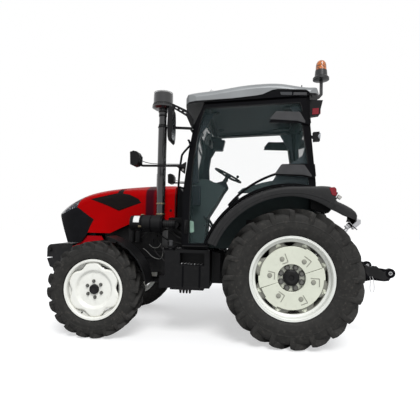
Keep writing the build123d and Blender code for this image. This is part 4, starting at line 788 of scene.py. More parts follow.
def bolt_heads(places: Sequence[Sequence[float]], axis: Sequence[float], size: float, height: float,
        sides: int = 6) -> Shape:
    """Bolt heads or nuts with a washer and a chamfered crown, one on each place.

    Each is a lathe of six (or more) sides over the profile washer, flank, chamfer, crown.

    Args:
        places: centres of their seats.
        axis: the way they point.
        size: distance across the corners.
        height: how far they stand up.
        sides: flats on the head.
    Returns:
        All of them.
    """
    radius = size / 2
    washer = [(0.0, 1e-6), (0.0, radius * 1.35), (height * 0.18, radius * 1.35), (height * 0.18, 1e-6)]
    head = [(height * 0.18, 1e-6), (height * 0.18, radius), (height * 0.88, radius),
        (height, radius * 0.82), (height, 1e-6)]
    one = lathe(washer, (0, 0, 0), axis, 14) + lathe(head, (0, 0, 0), axis, sides)
    return merged(one.moved(*place) for place in places)


def ring_places(centre: Sequence[float], radius: float, count: int, first: float) -> list[Point]:
    """Places spaced evenly round a centre in the upright plane, first in degrees from the rear."""
    angles = np.radians(first + np.arange(count) * 360.0 / count)
    return [(centre[0] + radius * math.cos(a), centre[1], centre[2] + radius * math.sin(a)) for a in angles]


def rounded(corners: Outline, radius: float, steps: int = 5) -> list[Pair]:
    """Closed outline with each corner replaced by a quadratic curve of the radius' reach.

    Args:
        corners: the outline's corners.
        radius: how far from the corner the curve begins and ends, at most 45% of a side.
        steps: points for each corner.
    Returns:
        The smoothed outline.
    """
    given = np.array(corners, dtype=float)
    before, after = np.roll(given, 1, axis=0) - given, np.roll(given, -1, axis=0) - given
    reach = [np.minimum(radius / np.linalg.norm(v, axis=1, keepdims=True), 0.45) * v
        for v in (before, after)]
    t = np.linspace(0.0, 1.0, steps)[None, :, None]
    start, end, tip = (given + reach[0])[:, None], (given + reach[1])[:, None], given[:, None]
    curve = (1 - t) ** 2 * start + 2 * t * (1 - t) * tip + t ** 2 * end
    return [tuple(point) for point in curve.reshape(-1, 2)]


def slab(corners: Outline, radius: float, low: float, high: float, axis: str = "Y") -> Shape:
    """Prism over an outline with rounded corners."""
    return prism(rounded(corners, radius), low, high, axis)


def pipe(points: Sequence[Sequence[float]], count: int, radius: float | Array, sides: int = 12,
        flat: float = 1.0) -> Shape:
    """Tube along a smooth path through the points."""
    return tube(spline(points, count), radius, sides, flat)


def sheared(slope: float, x: float, z: float) -> Matrix:
    """Matrix that adds x + slope * (height - z) to a point's own x."""
    return Matrix(((1.0, 0.0, slope, x - slope * z), (0.0, 1.0, 0.0, 0.0), (0.0, 0.0, 1.0, 0.0),
        (0.0, 0.0, 0.0, 1.0)))


@dataclass
class Maker:
    """Turns shapes into dressed pieces that ride on one body."""

    body: str

    def piece(self, name: str, shape: Shape, finish: Finish, bevel: float = 0.0, sharp: float = 35.0,
            stands_for: Sequence[str] = (), thickness: float = 0.0) -> bpy.types.Object:
        """Makes one piece.

        Args:
            name: the piece's name.
            shape: its surface.
            finish: its finish.
            bevel: width of a rounded edge, in metres.
            sharp: angle past which an edge stays hard, in degrees.
            stands_for: CAD nodes that it replaces.
            thickness: wall given to an open sheet, in metres.
        Returns:
            The object.
        """
        mesh = bpy.data.meshes.new(name)
        mesh.from_pydata(shape.points.tolist(), [], shape.faces)
        loose = bmesh.new()
        loose.from_mesh(mesh)
        bmesh.ops.remove_doubles(loose, verts=loose.verts, dist=2e-6)
        bmesh.ops.recalc_face_normals(loose, faces=loose.faces)
        loose.to_mesh(mesh)
        loose.free()
        mesh.materials.append(finish.material())
        mesh.shade_smooth()
        mesh.set_sharp_from_angle(angle=math.radians(sharp))
        made = bpy.data.objects.new(name, mesh)
        bpy.context.scene.collection.objects.link(made)
        if thickness:
            wall = made.modifiers.new("wall", "SOLIDIFY")
            wall.thickness, wall.offset = thickness, 0.0
        if bevel:
            edge = made.modifiers.new("edge", "BEVEL")
            edge.width, edge.segments, edge.limit_method = bevel, 2, "ANGLE"
            edge.angle_limit = math.radians(40.0)
            edge.harden_normals = False
        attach(made, self.body)
        if stands_for:
            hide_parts(*stands_for)
        LOG.info("%s: %d faces", name, len(mesh.polygons))
        return made

    def pair(self, name: str, shape: Shape, finish: Finish, **options: Any) -> None:
        """The same piece on both sides; the shape given is the left one."""
        self.piece(f"{name}_left", shape, finish, **options)
        self.piece(f"{name}_right", shape.mirrored(), finish, **options)


# ---------------------------------------------------------------- wheels
@dataclass
class Tyre:
    """Lugged agricultural tyre, standing for the flat-faced one of the frame."""

    node: str
    body: str
    centre: Point
    radius: float
    width: float
    seat: float
    flange: float
    lugs: int
    lug_share: float = 0.057
    sweep: float = 0.95
    turns: int = 160

    def sizes(self) -> Point:
        """Half width, wall height and full lug height."""
        return self.width / 2, self.radius - self.seat, self.lug_share * self.radius

    def base_line(self) -> Array:
        """Line where the lugs spring from, from the crown over the shoulder, as (radius, across) pairs."""
        half, wall, full = self.sizes()
        drop = [1.05 * full, 1.1 * full, 1.28 * full, 1.6 * full, 2.05 * full, 0.35 * wall, 0.42 * wall,
            0.48 * wall]
        across = [0.0, 0.45, 0.76, 0.86, 0.915, 0.945, 0.958, 0.966]
        return np.column_stack([self.radius - np.array(drop), half * np.array(across)])

    def top_line(self) -> Array:
        """Line of the lugs' outer faces, beside the base line point by point."""
        half, wall, full = self.sizes()
        drop = [0.01 * full, 0.03 * full, 0.1 * full, 0.26 * full, 0.62 * full, 0.22 * wall, 0.34 * wall,
            0.45 * wall]
        across = [0.0, 0.45, 0.8, 0.945, 0.995, 1.0, 0.99, 0.97]
        return np.column_stack([self.radius - np.array(drop), half * np.array(across)])

    def carcass(self) -> Shape:
        """Revolved wall and crown with raised rings on each wall, each ring a narrow bell curve."""
        half, wall, _ = self.sizes()
        lower = [(self.radius - 0.56 * wall, 0.972 * half), (self.radius - 0.68 * wall, 0.96 * half),
            (self.radius - 0.8 * wall, 0.905 * half), (self.flange + 0.01, 0.835 * half),
            (self.flange + 0.001, 0.775 * half), (self.seat + 0.004, 0.755 * half)]
        line = spline(np.vstack([self.base_line(), lower]), 56)
        for share, lift in ((0.47, 0.003), (0.64, 0.0016), (0.83, 0.0022)):
            bell = np.exp(-((line[:, 0] - self.radius + share * wall) / 0.0045) ** 2)
            line[:, 1] += lift * bell
        left = [(-across, radius) for radius, across in line[::-1]]
        right = [(across, radius) for radius, across in line[1:]]
        return lathe(left + right, self.centre, (0, 1, 0), self.turns)

    def lug_row(self, side: int) -> Shape:
        """One row of lugs, from the crown over the shoulder onto the wall.

        A lug's angle falls as sweep * pitch * t^0.85 until the shoulder and then stays; its section at each
        step is a trapezium between the base line and the top line.

        Args:
            side: -1 for the left half of the tread, 1 for the right.
        Returns:
            The row.
        """
        steps, pitch = 15, math.tau / self.lugs
        t = np.linspace(0.0, 7.0, steps)
        base, top = (np.column_stack([np.interp(t, np.arange(8), line[:, k]) for k in (0, 1)])
            for line in (self.base_line(), self.top_line()))
        turn = (0 if side < 0 else pitch / 2) - self.sweep * pitch * np.minimum(t / 4.0, 1.0) ** 0.85
        foot, crest = np.interp(t, [0.0, 4.0, 7.0], [0.19, 0.165, 0.15]), np.interp(t, [0, 4, 7],
            [0.12, 0.11, 0.105])
        sunk = base - (top - base) * 0.25
        corners = [(foot, sunk, 0.0), (crest * 1.07, top, 0.16), (crest * 0.95, top, 0.0),
            (-crest * 0.95, top, 0.0), (-crest * 1.07, top, 0.16), (-foot, sunk, 0.0)]
        rings = []
        for offset, line, sink in corners:
            place = line + (base - line) * sink
            rings.append(np.stack([turn + offset * pitch, place[:, 0], place[:, 1]], axis=-1))
        one = np.stack(rings, axis=1)
        angles = one[None, :, :, 0] + np.arange(self.lugs)[:, None, None] * pitch
        r, w = one[None, :, :, 1], one[None, :, :, 2] * side
        points = np.stack([self.centre[0] + r * np.sin(angles), self.centre[1] + w + 0 * angles,
            self.centre[2] - r * np.cos(angles)], axis=-1)
        single = grid(np.zeros((steps, 6, 3)), close_v=True)
        caps = [list(range(6))[::-1], list(range(6 * (steps - 1), 6 * steps))]
        shift = np.arange(self.lugs) * 6 * steps
        faces = [[index + start for index in face] for start in shift.tolist() for face in single.faces
            + caps]
        return Shape(points.reshape(-1, 3), faces)

    def build(self) -> None:
        """Makes the tyre."""
        Maker(self.body).piece(f"lugged_{self.node}", self.carcass() + self.lug_row(-1) + self.lug_row(1),
            RUBBER, stands_for=[self.node], sharp=32.0)


@dataclass
class Rim:
    """Rolled rim with a wavy dished disc, in place of the plain one; rear ones carry weights."""

    node: str
    body: str
    side: int
    centre: Point
    width: float
    seat: float
    flange: float
    face: float
    hub: float
    dish: Pair
    waves: tuple[int, float, float]
    finish: Finish
    weighted: bool = False

    def barrel(self) -> Shape:
        """Revolved rim: rolled flanges, bead seats and well, as one bent sheet."""
        bead, sheet = 0.38 * self.width, 0.01
        seat, well, tip = self.seat, self.seat - 0.034, self.flange
        outer = [(bead + 0.014, tip - 0.004), (bead + 0.0125, tip - 0.001), (bead + 0.0085, tip),
            (bead + 0.0035, tip - 0.0015), (bead, tip - 0.006), (bead, seat + 0.004),
            (bead - 0.0025, seat), (bead - 0.046, seat - 0.006), (bead - 0.066, well)]
        inner = [(bead - 0.062, well - sheet), (bead - 0.046, seat - 0.016), (bead - 0.004, seat - sheet),
            (bead + 0.008, seat - sheet + 0.003), (bead + 0.0135, seat + 0.002),
            (bead + 0.011, seat + 0.007), (bead + 0.0115, tip - 0.01)]
        half = [(-along, r) for along, r in outer] + [(along, r) for along, r in outer[::-1]]
        back = [(along, r) for along, r in inner[::-1]] + [(-along, r) for along, r in inner]
        return lathe(half + back, (self.centre[0], -abs(self.centre[1]), self.centre[2]), (0, 1, 0), 144)

    def disc(self) -> Shape:
        """Dished disc: its edge is r = reach - bite * ((1 + cos(n (a - a0))) / 2)^1.6.

        The depth behind the face follows the radius: dish floor, ramp, flat ring and rolled edge.
        """
        count, first, bite = self.waves
        reach = self.seat - 0.0115
        angle = np.linspace(0.0, math.tau, 240, endpoint=False)
        wave = ((1 + np.cos(count * (angle - math.radians(first)))) / 2) ** 1.6
        edge = reach - bite * wave
        t = np.linspace(0.0, 1.0, 40)
        r = self.hub + (edge[None, :] - self.hub) * t[:, None]
        ramp_in, ramp_out = self.dish[0], self.dish[0] + 0.036
        s = np.clip((r - ramp_in) / (ramp_out - ramp_in), 0.0, 1.0)
        roll = np.clip((t - 0.9) / 0.1, 0.0, 1.0)[:, None] ** 2
        depth = self.dish[1] * (1 - s * s * (3 - 2 * s)) + roll * 0.012
        points = np.stack([self.centre[0] + r * np.cos(angle), -(self.face - depth),
            self.centre[2] + r * np.sin(angle)], axis=-1)
        return grid(points, close_v=True)

    def build(self) -> None:
        """Makes the barrel, the disc and, at the rear, the weights."""
        make = Maker(self.body)
        make.piece(f"rolled_{self.node}", self.barrel().on(self.side), self.finish,
            stands_for=[self.node], sharp=50.0)
        disc = make.piece(f"disc_{self.node}", self.disc().on(self.side), self.finish, sharp=60.0,
            thickness=0.008)
        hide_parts(self.node)
        if self.weighted:
            weights = make.piece(f"weights_{self.node}", (self.half_weight(20.0)
                + self.half_weight(200.0)).on(self.side), WEIGHT_IVORY, bevel=0.004)
            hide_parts(self.node)
            self.weight_details(make)

    def half_weight(self, seam: float) -> Shape:
        """Half disc from the seam angle on, its outer edge stepped near both ends."""
        angle = np.radians(np.concatenate([np.linspace(seam + 0.5, seam + 18, 12),
            np.linspace(seam + 18.2, seam + 44, 14), np.linspace(seam + 44.2, seam + 158, 50),
            np.linspace(seam + 158.2, seam + 179.5, 12)]))
        share = np.degrees(angle) - seam
        outer = np.where((share > 18.1) & (share < 44.1) | (share > 158.1), 0.356, 0.342)
        ring = [(self.centre[0] + r * math.cos(a), self.centre[2] + r * math.sin(a))
            for r, a in zip(outer, angle)]
        bore = [(self.centre[0] + 0.15 * math.cos(a), self.centre[2] + 0.15 * math.sin(a))
            for a in angle[::-1]]
        near = -(self.face + 0.04)
        walls = [np.array([(x, y, z) for x, z in ring + bore]) for y in (near, -(self.face + 0.001))]
        shape = grid(np.stack(walls), close_v=True)
        count = len(ring)
        lids = [[k, k + 1, 2 * count - 2 - k, 2 * count - 1 - k] for k in range(count - 1)]
        lids += [[index + 2 * count for index in face][::-1] for face in lids]
        return Shape(shape.points, shape.faces + lids)

    def weight_details(self, make: Maker) -> None:
        """A stud in each of the six pockets, and beside each two dark bars as painted shade on the pocket's
        wall.
        """
        x, z, near = self.centre[0], self.centre[2], -(self.face + 0.04)
        make.piece(f"weight_studs_{self.node}", bolt_heads([(x + dx, near, z + dz)
            for dx, dz in ((-0.104, 0.202), (0.13, 0.18), (0.23, -0.036), (0.101, -0.22),
            (-0.137, -0.194), (-0.234, 0.022))], (0, -1, 0), 0.04, 0.012, 16).on(self.side), STUD_GREY)
        # Painted shade: corners of dark bars where each pocket's wall lies in shade.
        steps = [((-0.074, 0.262), (-0.04, 0.173), (-0.098, 0.15)),
            ((0.132, 0.241), (0.205, 0.187), (0.155, 0.125)), ((0.2, 0.007), (0.292, 0.004),
            (0.292, -0.082)), ((0.122, -0.178), (0.172, -0.254), (0.104, -0.282)),
            ((-0.135, -0.146), (-0.072, -0.187), (-0.113, -0.26)), ((-0.25, 0.068), (-0.18, 0.054),
            (-0.184, -0.02))]
        make.piece(f"painted_pocket_shade_{self.node}", merged(self.step(corner, near)
            for corner in steps).on(self.side), STUD_GREY, bevel=0.0015)

    def step(self, corner: Outline, near: float) -> Shape:
        """Two dark bars, 9 mm wide, along three points of the weight's face, as painted shade."""
        points = np.array(corner) + np.array([self.centre[0], self.centre[2]])
        bars = []
        for a, b in zip(points[:-1], points[1:]):
            along = (b - a) / np.linalg.norm(b - a)
            across = 0.0045 * np.array([-along[1], along[0]])
            outline = [tuple(p) for p in (a + across, b + across, b - across, a - across)]
            bars.append(prism(outline, near - 0.004, near + 0.004))
        return merged(bars)


@dataclass
class WheelTrim:
    """Nuts, hub cap and welded lugs of one wheel."""

    body: str
    side: int
    centre: Point
    face: float
    rear: bool

    def build(self) -> None:
        """Makes the trim for a front or a rear wheel."""
        tag = f"{'rear' if self.rear else 'front'}_{'left' if self.side < 0 else 'right'}"
        make = Maker(self.body)
        x, z = self.centre[0], self.centre[2]
        if self.rear:
            self.rear_trim(make, tag, x, z)
        else:
            self.front_trim(make, tag, x, z)

    def rear_trim(self, make: Maker, tag: str, x: float, z: float) -> None:
        """Hub plate with eight nuts, the dark hub end, and pale tabs with bolts round the disc."""
        deep = -(self.face - 0.03)
        make.piece(f"hub_plate_{tag}", lathe([(0.0, 0.08), (0.012, 0.08), (0.012, 0.146), (0.008, 0.15),
            (0.0, 0.15)], (x, deep, z), (0, -1, 0), 48).on(self.side), WEIGHT_IVORY, sharp=30.0)
        make.piece(f"hub_nuts_{tag}", bolt_heads(ring_places((x, deep - 0.012, z), 0.12, 8, 22.5),
            (0, -1, 0), 0.05, 0.036).on(self.side), NUT_DARK)
        make.piece(f"hub_end_{tag}", lathe([(0.0, 1e-6), (0.0, 0.088), (0.04, 0.088), (0.048, 0.084),
            (0.056, 0.07), (0.062, 0.064), (0.064, 0.052), (0.06, 0.03), (0.05, 0.024), (0.05, 1e-6)],
            (x, deep + 0.004, z), (0, -1, 0), 40, closed=False).on(self.side), CAST_BLACK, sharp=25.0)
        make.piece(f"rim_lugs_{tag}", merged(self.weld_tab(x, z, angle) for angle in np.arange(8) * 45.0
            + 23.0).on(self.side), WEIGHT_IVORY, bevel=0.003)
        make.piece(f"rim_bolts_{tag}", bolt_heads(ring_places((x, -(self.face + 0.004), z), 0.379, 8,
            23.0), (0, -1, 0), 0.03, 0.018).on(self.side), WEIGHT_IVORY)

    def weld_tab(self, x: float, z: float, angle: float) -> Shape:
        """Bent tab that joins the disc to the barrel at an angle, drawn upright and turned into place."""
        tab = prism([(-0.03, 0.358), (0.03, 0.358), (0.022, 0.404), (-0.022, 0.404)],
            -(self.face + 0.006), -(self.face - 0.01))
        return tab.turned(Matrix.Translation((x, 0, z)) @ Matrix.Rotation(math.radians(90.0 - angle), 4,
            "Y"))

    def front_trim(self, make: Maker, tag: str, x: float, z: float) -> None:
        """Six studs with nuts, a stepped hub cap and the valve."""
        deep = -(self.face - 0.022)
        make.piece(f"hub_nuts_{tag}", bolt_heads(ring_places((x, deep, z), 0.091, 6, 36.0), (0, -1, 0),
            0.03, 0.02).on(self.side), NUT_DARK)
        make.piece(f"hub_cap_{tag}", lathe([(0.0, 1e-6), (0.0, 0.056), (0.012, 0.056), (0.016, 0.052),
            (0.024, 0.048), (0.026, 0.04), (0.02, 0.022), (0.02, 1e-6)], (x, deep, z), (0, -1, 0), 36,
            closed=False).on(self.side), CAST_BLACK, sharp=28.0)
        a = math.radians(243.0)
        make.piece(f"valve_{tag}", lathe([(0.0, 1e-6), (0.0, 0.01), (0.004, 0.01), (0.006, 0.006),
            (0.022, 0.005), (0.023, 1e-6)], (x + 0.3 * math.cos(a), -(self.face - 0.016),
            z + 0.3 * math.sin(a)), (-0.3 * math.cos(a), -1.0, -0.3 * math.sin(a)), 14,
            closed=False).on(self.side), CAST_BLACK)


# end, centre of the right wheel, (radius, width, seat, flange, lugs), outer face of the disc, whether rear
WHEELS = [
    ("rear", (0.950, 0.770, 0.755), (0.755, 0.380, 0.432, 0.457, 20), 0.836, True),
    ("front", (-1.260, 0.790, 0.547), (0.547, 0.280, 0.322, 0.345, 20), 0.884, False),
]
# hub bore, (dish radius, dish depth) and (waves, angle of the first, depth of the bite) of each rim
RIM_FORMS = {
    "rear": (0.084, (0.150, 0.030), (8, 4.0, 0.086)),
    "front": (0.052, (0.190, 0.030), (6, 5.0, 0.050)),
}


# ---------------------------------------------------------------- hood and front
@dataclass
class Hood:
    """Lamp innards, trims and fittings that lift with the hood."""

    body: str = "hood"
    lamp: tuple[Pair, ...] = ((-1.965, 1.452), (-1.75, 1.585), (-1.712, 1.628), (-1.748, 1.552),
        (-1.772, 1.512), (-1.86, 1.482), (-1.94, 1.44))

    def build(self) -> None:
        """Makes every piece of the hood."""
        make = Maker(self.body)
        make.pair("lamp_backing", slab(self.lamp, 0.012, -0.262, -0.085), LAMP_DARK, bevel=0.004)
        bowls = [((-1.9, -0.262, 1.462), 0.03), ((-1.835, -0.272, 1.497), 0.026),
            ((-1.775, -0.278, 1.545), 0.022)]
        make.pair("lamp_bowls", merged(self.bowl(*bowl) for bowl in bowls), CHROME, sharp=30.0)
        make.pair("lamp_trim", tube(spline([(-1.962, -0.252, 1.424), (-1.9, -0.281, 1.452),
            (-1.83, -0.3, 1.478), (-1.768, -0.312, 1.503)], 24), 0.0045, 8), PLASTIC)
        make.pair("hood_latch", slab([(-0.52, 1.46), (-0.49, 1.46), (-0.49, 1.49), (-0.52, 1.49)], 0.008,
            -0.362, -0.345), PLASTIC, bevel=0.003)
        make.piece("hood_seal", pipe([(-0.45, -0.348, 1.36), (-0.45, -0.353, 1.5), (-0.45, -0.352, 1.66),
            (-0.45, -0.318, 1.748), (-0.45, -0.25, 1.778), (-0.45, 0.0, 1.814), (-0.45, 0.25, 1.778),
            (-0.45, 0.318, 1.748), (-0.45, 0.352, 1.66), (-0.45, 0.353, 1.5), (-0.45, 0.348, 1.36)], 90,
            0.006, 8), SEAL)

        make.pair("vent_mesh", self.vent_sheet(), GRILLE, thickness=0.002)

    def vent_sheet(self) -> Shape:
        """Mesh over the side vent: rows between its lower and upper edge, laid on the hood's side.

        Above the height where the corner starts, y = w - r + sqrt(r^2 - (z - z_corner)^2).
        """
        x = np.linspace(-1.583, -0.89, 48)
        low = np.interp(x, [-1.583, -1.416, -1.322, -1.188, -0.89], [1.607, 1.553, 1.518, 1.461, 1.567])
        high = np.interp(x, [-1.583, -1.212, -1.048, -0.927, -0.89], [1.607, 1.692, 1.673, 1.617, 1.567])
        t = np.linspace(0.0, 1.0, 14)
        z = low[:, None] + (high - low)[:, None] * t
        ahead = [-1.65, -1.15, -0.44]
        width, corner, crown = (np.interp(x, ahead, values)[:, None]
            for values in ((0.338, 0.35, 0.35), (0.11, 0.1, 0.095), (1.65, 1.74, 1.77)))
        over = np.clip(z - (crown - corner), 0.0, corner)
        y = width - corner + np.sqrt(corner ** 2 - over ** 2) + 0.0025
        return grid(np.stack([np.broadcast_to(x[:, None], z.shape), -y, z], axis=-1))

    def bowl(self, centre: Point, radius: float) -> Shape:
        """Polished reflector: a shallow bowl with a bulb in it, facing forward and outward."""
        axis = (-0.55, -0.8, 0.1)
        dish = [(0.004, radius), (0.006, radius * 0.96), (0.0, radius * 0.8), (-0.006, radius * 0.45),
            (-0.008, radius * 0.3), (0.002, radius * 0.28), (0.004, radius * 0.16), (0.005, 1e-6)]
        return lathe(dish, centre, axis, 32, closed=False)


@dataclass
class FrontEnd:
    """Fittings of the front bolster, weights, axle and steering."""

    body: str = "chassis"

    def build(self) -> None:
        """Makes the retaining rod, plates, bolts and pipes."""
        make = Maker(self.body)
        rod = lathe([(-0.3, 1e-6), (-0.3, 0.013), (0.3, 0.013), (0.3, 1e-6)], (-2.142, 0.0, 0.93),
            (0, 1, 0), 20)
        nuts = bolt_heads([(-2.142, -0.283, 0.93)], (0, -1, 0), 0.042, 0.02)
        make.piece("weight_rod", rod + nuts + nuts.mirrored(), CAST_BLACK)
        make.pair("cover_corner", prism([(-1.669, 1.13), (-1.723, 1.046), (-1.824, 0.977), (-1.6, 0.985),
            (-1.55, 1.12)], -0.278, -0.262), RED, bevel=0.003)
        make.pair("frame_bolts", bolt_heads([(x, -0.2815, z) for x, z in ((-1.78, 0.93), (-1.7, 0.93),
            (-1.78, 0.83), (-1.7, 0.83), (-1.45, 0.9), (-1.3, 0.88), (-1.1, 0.88))], (0, -1, 0), 0.03,
            0.016), NUT_GREY)
        make.pair("brake_pipe", tube(spline([(-1.2, -0.22, 0.7), (-1.12, -0.26, 0.78),
            (-0.98, -0.27, 0.84), (-0.8, -0.27, 0.86), (-0.62, -0.24, 0.88)], 30), 0.006, 8), BLACK_ENAMEL)


# ---------------------------------------------------------------- air filter, tanks and hoses
@dataclass
class FilterSide:
    """Bands, clips and plate of the air filter, clamps and bowl of the intake, and nearby hoses."""

    centre: Pair = (-0.52, 1.308)
    stack: Pair = (-0.608, -0.47)

    def build(self) -> None:
        """Makes the fittings, all on the chassis."""
        make = Maker("chassis")
        y, z = self.centre
        make.piece("filter_bands", merged(lathe(self.band(r), (x, y, z), (1, 0, 0), 56)
            for x, r in ((-0.812, 0.1045), (-0.7, 0.1035), (-0.572, 0.1035))), BLACK_ENAMEL, sharp=30.0)
        ribs = merged(lathe([(-0.004, 0.09), (-0.004, 0.0945), (0.004, 0.0945), (0.004, 0.09)], (x, y, z),
            (1, 0, 0), 56) for x in (-0.935, -0.912, -0.889, -0.866))
        make.piece("filter_lid", ribs + lathe([(-0.006, 1e-6), (-0.006, 0.03), (0.0, 0.036), (0.0, 0.07),
            (-0.005, 0.078), (0.0, 0.089)], (-0.956, y, z), (1, 0, 0), 48, closed=False), PLASTIC,
            sharp=30.0)
        make.piece("filter_clips", merged(block((-0.845, y - 0.01, z + 0.1),
            (-0.805, y + 0.01, z + 0.113)).turned(Matrix.Translation((0, y, z))
            @ Matrix.Rotation(math.radians(a), 4, "X") @ Matrix.Translation((0, -y, -z)))
            for a in (-10.0, 110.0, 230.0)), CLAMP_BRASS, bevel=0.002)
        make.piece("filter_plate", self.plate(), PLATE_WHITE, thickness=0.001)
        make.piece("elbow_ribs", merged(lathe([(-0.005, 0.044), (-0.005, 0.049), (0.005, 0.049),
            (0.005, 0.044)], (x, y, z), (1, 0, 0), 40) for x in (-0.54, -0.518, -0.496, -0.474, -0.452)),
            HOSE, sharp=30.0)
        self.intake(make)
        self.hoses(make)

    def band(self, radius: float) -> list[Pair]:
        """Section of a clamp band round the filter."""
        return [(-0.009, radius - 0.002), (-0.009, radius + 0.0015), (-0.006, radius + 0.0025),
            (0.006, radius + 0.0025), (0.009, radius + 0.0015), (0.009, radius - 0.002)]

    def plate(self) -> Shape:
        """Blank plate bent round the filter's narrow end, over 62 degrees of its upper side."""
        x, angle = np.meshgrid(np.linspace(-0.912, -0.838, 8), np.radians(np.linspace(112.0, 174.0, 18)),
            indexing="ij")
        y = self.centre[0] + 0.0962 * np.cos(angle)
        z = self.centre[1] + 0.0962 * np.sin(angle)
        return grid(np.stack([x, y, z], axis=-1))

    def intake(self, make: Maker) -> None:
        """Clamps on the riser, bolts on the neck, and slots and a rim round the pre-cleaner."""
        x, y = self.stack
        make.piece("stack_clamps", merged(lathe(self.band(r), (x, y, z), (0, 0, 1), 40)
            for z, r in ((1.555, 0.0555), (1.426, 0.0555))), CLAMP_BRASS, sharp=30.0)
        make.piece("stack_clamp_lugs", merged(block((x - 0.01, y - 0.072, z - 0.008),
            (x + 0.01, y - 0.052, z + 0.008)) for z in (1.555, 1.426)), CLAMP_BRASS, bevel=0.002)
        make.piece("neck_bands", merged(lathe(self.band(r), (x, y, z), (0, 0, 1), 40)
            for z, r in ((2.508, 0.0555), (2.532, 0.0485), (2.65, 0.0485), (2.7, 0.0535))), PLASTIC,
            sharp=30.0)
        ring = [(-0.0025, -0.002), (-0.0025, 0.0018), (0.0, 0.0028), (0.0025, 0.0018), (0.0025, -0.002)]
        make.piece("bowl_rings", merged(lathe([(d, r + w) for d, w in ring], (x, y, z), (0, 0, 1), 72)
            for z, r in ((2.797, 0.1218), (2.936, 0.115))), PLASTIC, sharp=30.0)
        vane = prism([(-0.003, 0.0), (0.003, 0.0), (0.01, 0.016), (0.004, 0.016)], 0.1, 0.131)
        make.piece("bowl_vanes", merged(vane.turned(Matrix.Translation((x, y, 2.7715))
            @ Matrix.Rotation(math.radians(a), 4, "Z")) for a in np.arange(30) * 12.0), PLASTIC)
        make.piece("bowl_nut", lathe([(0.0, 0.03), (0.008, 0.028), (0.012, 0.018), (0.012, 1e-6)],
            (x, y, 2.9385), (0, 0, 1), 28, closed=False), PLASTIC, sharp=30.0)
        make.piece("stack_bracket", slab([(-0.64, 1.62), (-0.576, 1.62), (-0.576, 1.67), (-0.64, 1.67)],
            0.008, -0.42, -0.372), BLACK_ENAMEL, bevel=0.003)

    def hoses(self, make: Maker) -> None:
        """Hoses and sleeved pipes, held at both ends between engine, filter and tank, and a housing."""
        make.piece("cooler_housing", slab([(-0.53, 1.389), (-0.345, 1.389), (-0.345, 1.01),
            (-0.53, 1.03)], 0.03, -0.38, -0.31), PLASTIC, bevel=0.01)
        routes = [("fuel_hose", [(-0.7, -0.26, 1.16), (-0.66, -0.34, 1.12), (-0.6, -0.42, 1.02),
            (-0.52, -0.47, 0.93), (-0.44, -0.5, 0.86)], 0.009, HOSE),
            ("return_hose", [(-0.74, -0.26, 1.1), (-0.72, -0.36, 1.04), (-0.66, -0.42, 0.94),
            (-0.58, -0.46, 0.88), (-0.47, -0.5, 0.8)], 0.007, HOSE),
            ("heater_hose_low", [(-0.64, -0.24, 1.2), (-0.56, -0.34, 1.24), (-0.46, -0.4, 1.2),
            (-0.38, -0.42, 1.14), (-0.3, -0.4, 1.12)], 0.013, HOSE),
            ("heater_hose_high", [(-0.64, -0.24, 1.26), (-0.54, -0.36, 1.3), (-0.44, -0.4, 1.27),
            (-0.36, -0.42, 1.2), (-0.29, -0.4, 1.18)], 0.013, HOSE),
            ("looped_pipe", [(-0.758, -0.42, 1.047), (-0.703, -0.42, 1.007), (-0.64, -0.42, 1.013),
            (-0.603, -0.42, 1.062)], 0.003, PALE_HOSE), ("drain_pipe",
            [(-0.835, -0.42, 0.993), (-0.787, -0.42, 0.963), (-0.7, -0.42, 0.887),
            (-0.598, -0.42, 0.876), (-0.572, -0.42, 1.011)], 0.003, PALE_HOSE),
            ("sleeved_pipe", [(-0.78, -0.27, 1.02), (-0.72, -0.34, 0.96), (-0.6, -0.36, 0.95),
            (-0.48, -0.37, 0.99), (-0.36, -0.38, 1.02)], 0.005, HOSE),
            ("loom", [(-0.9, -0.27, 1.12), (-0.8, -0.31, 1.19), (-0.68, -0.33, 1.18),
            (-0.52, -0.36, 1.1), (-0.34, -0.4, 1.06)], 0.01, HOSE),]
        for name, points, radius, finish in routes:
            make.piece(name, pipe(points, 36, radius, 10), finish)


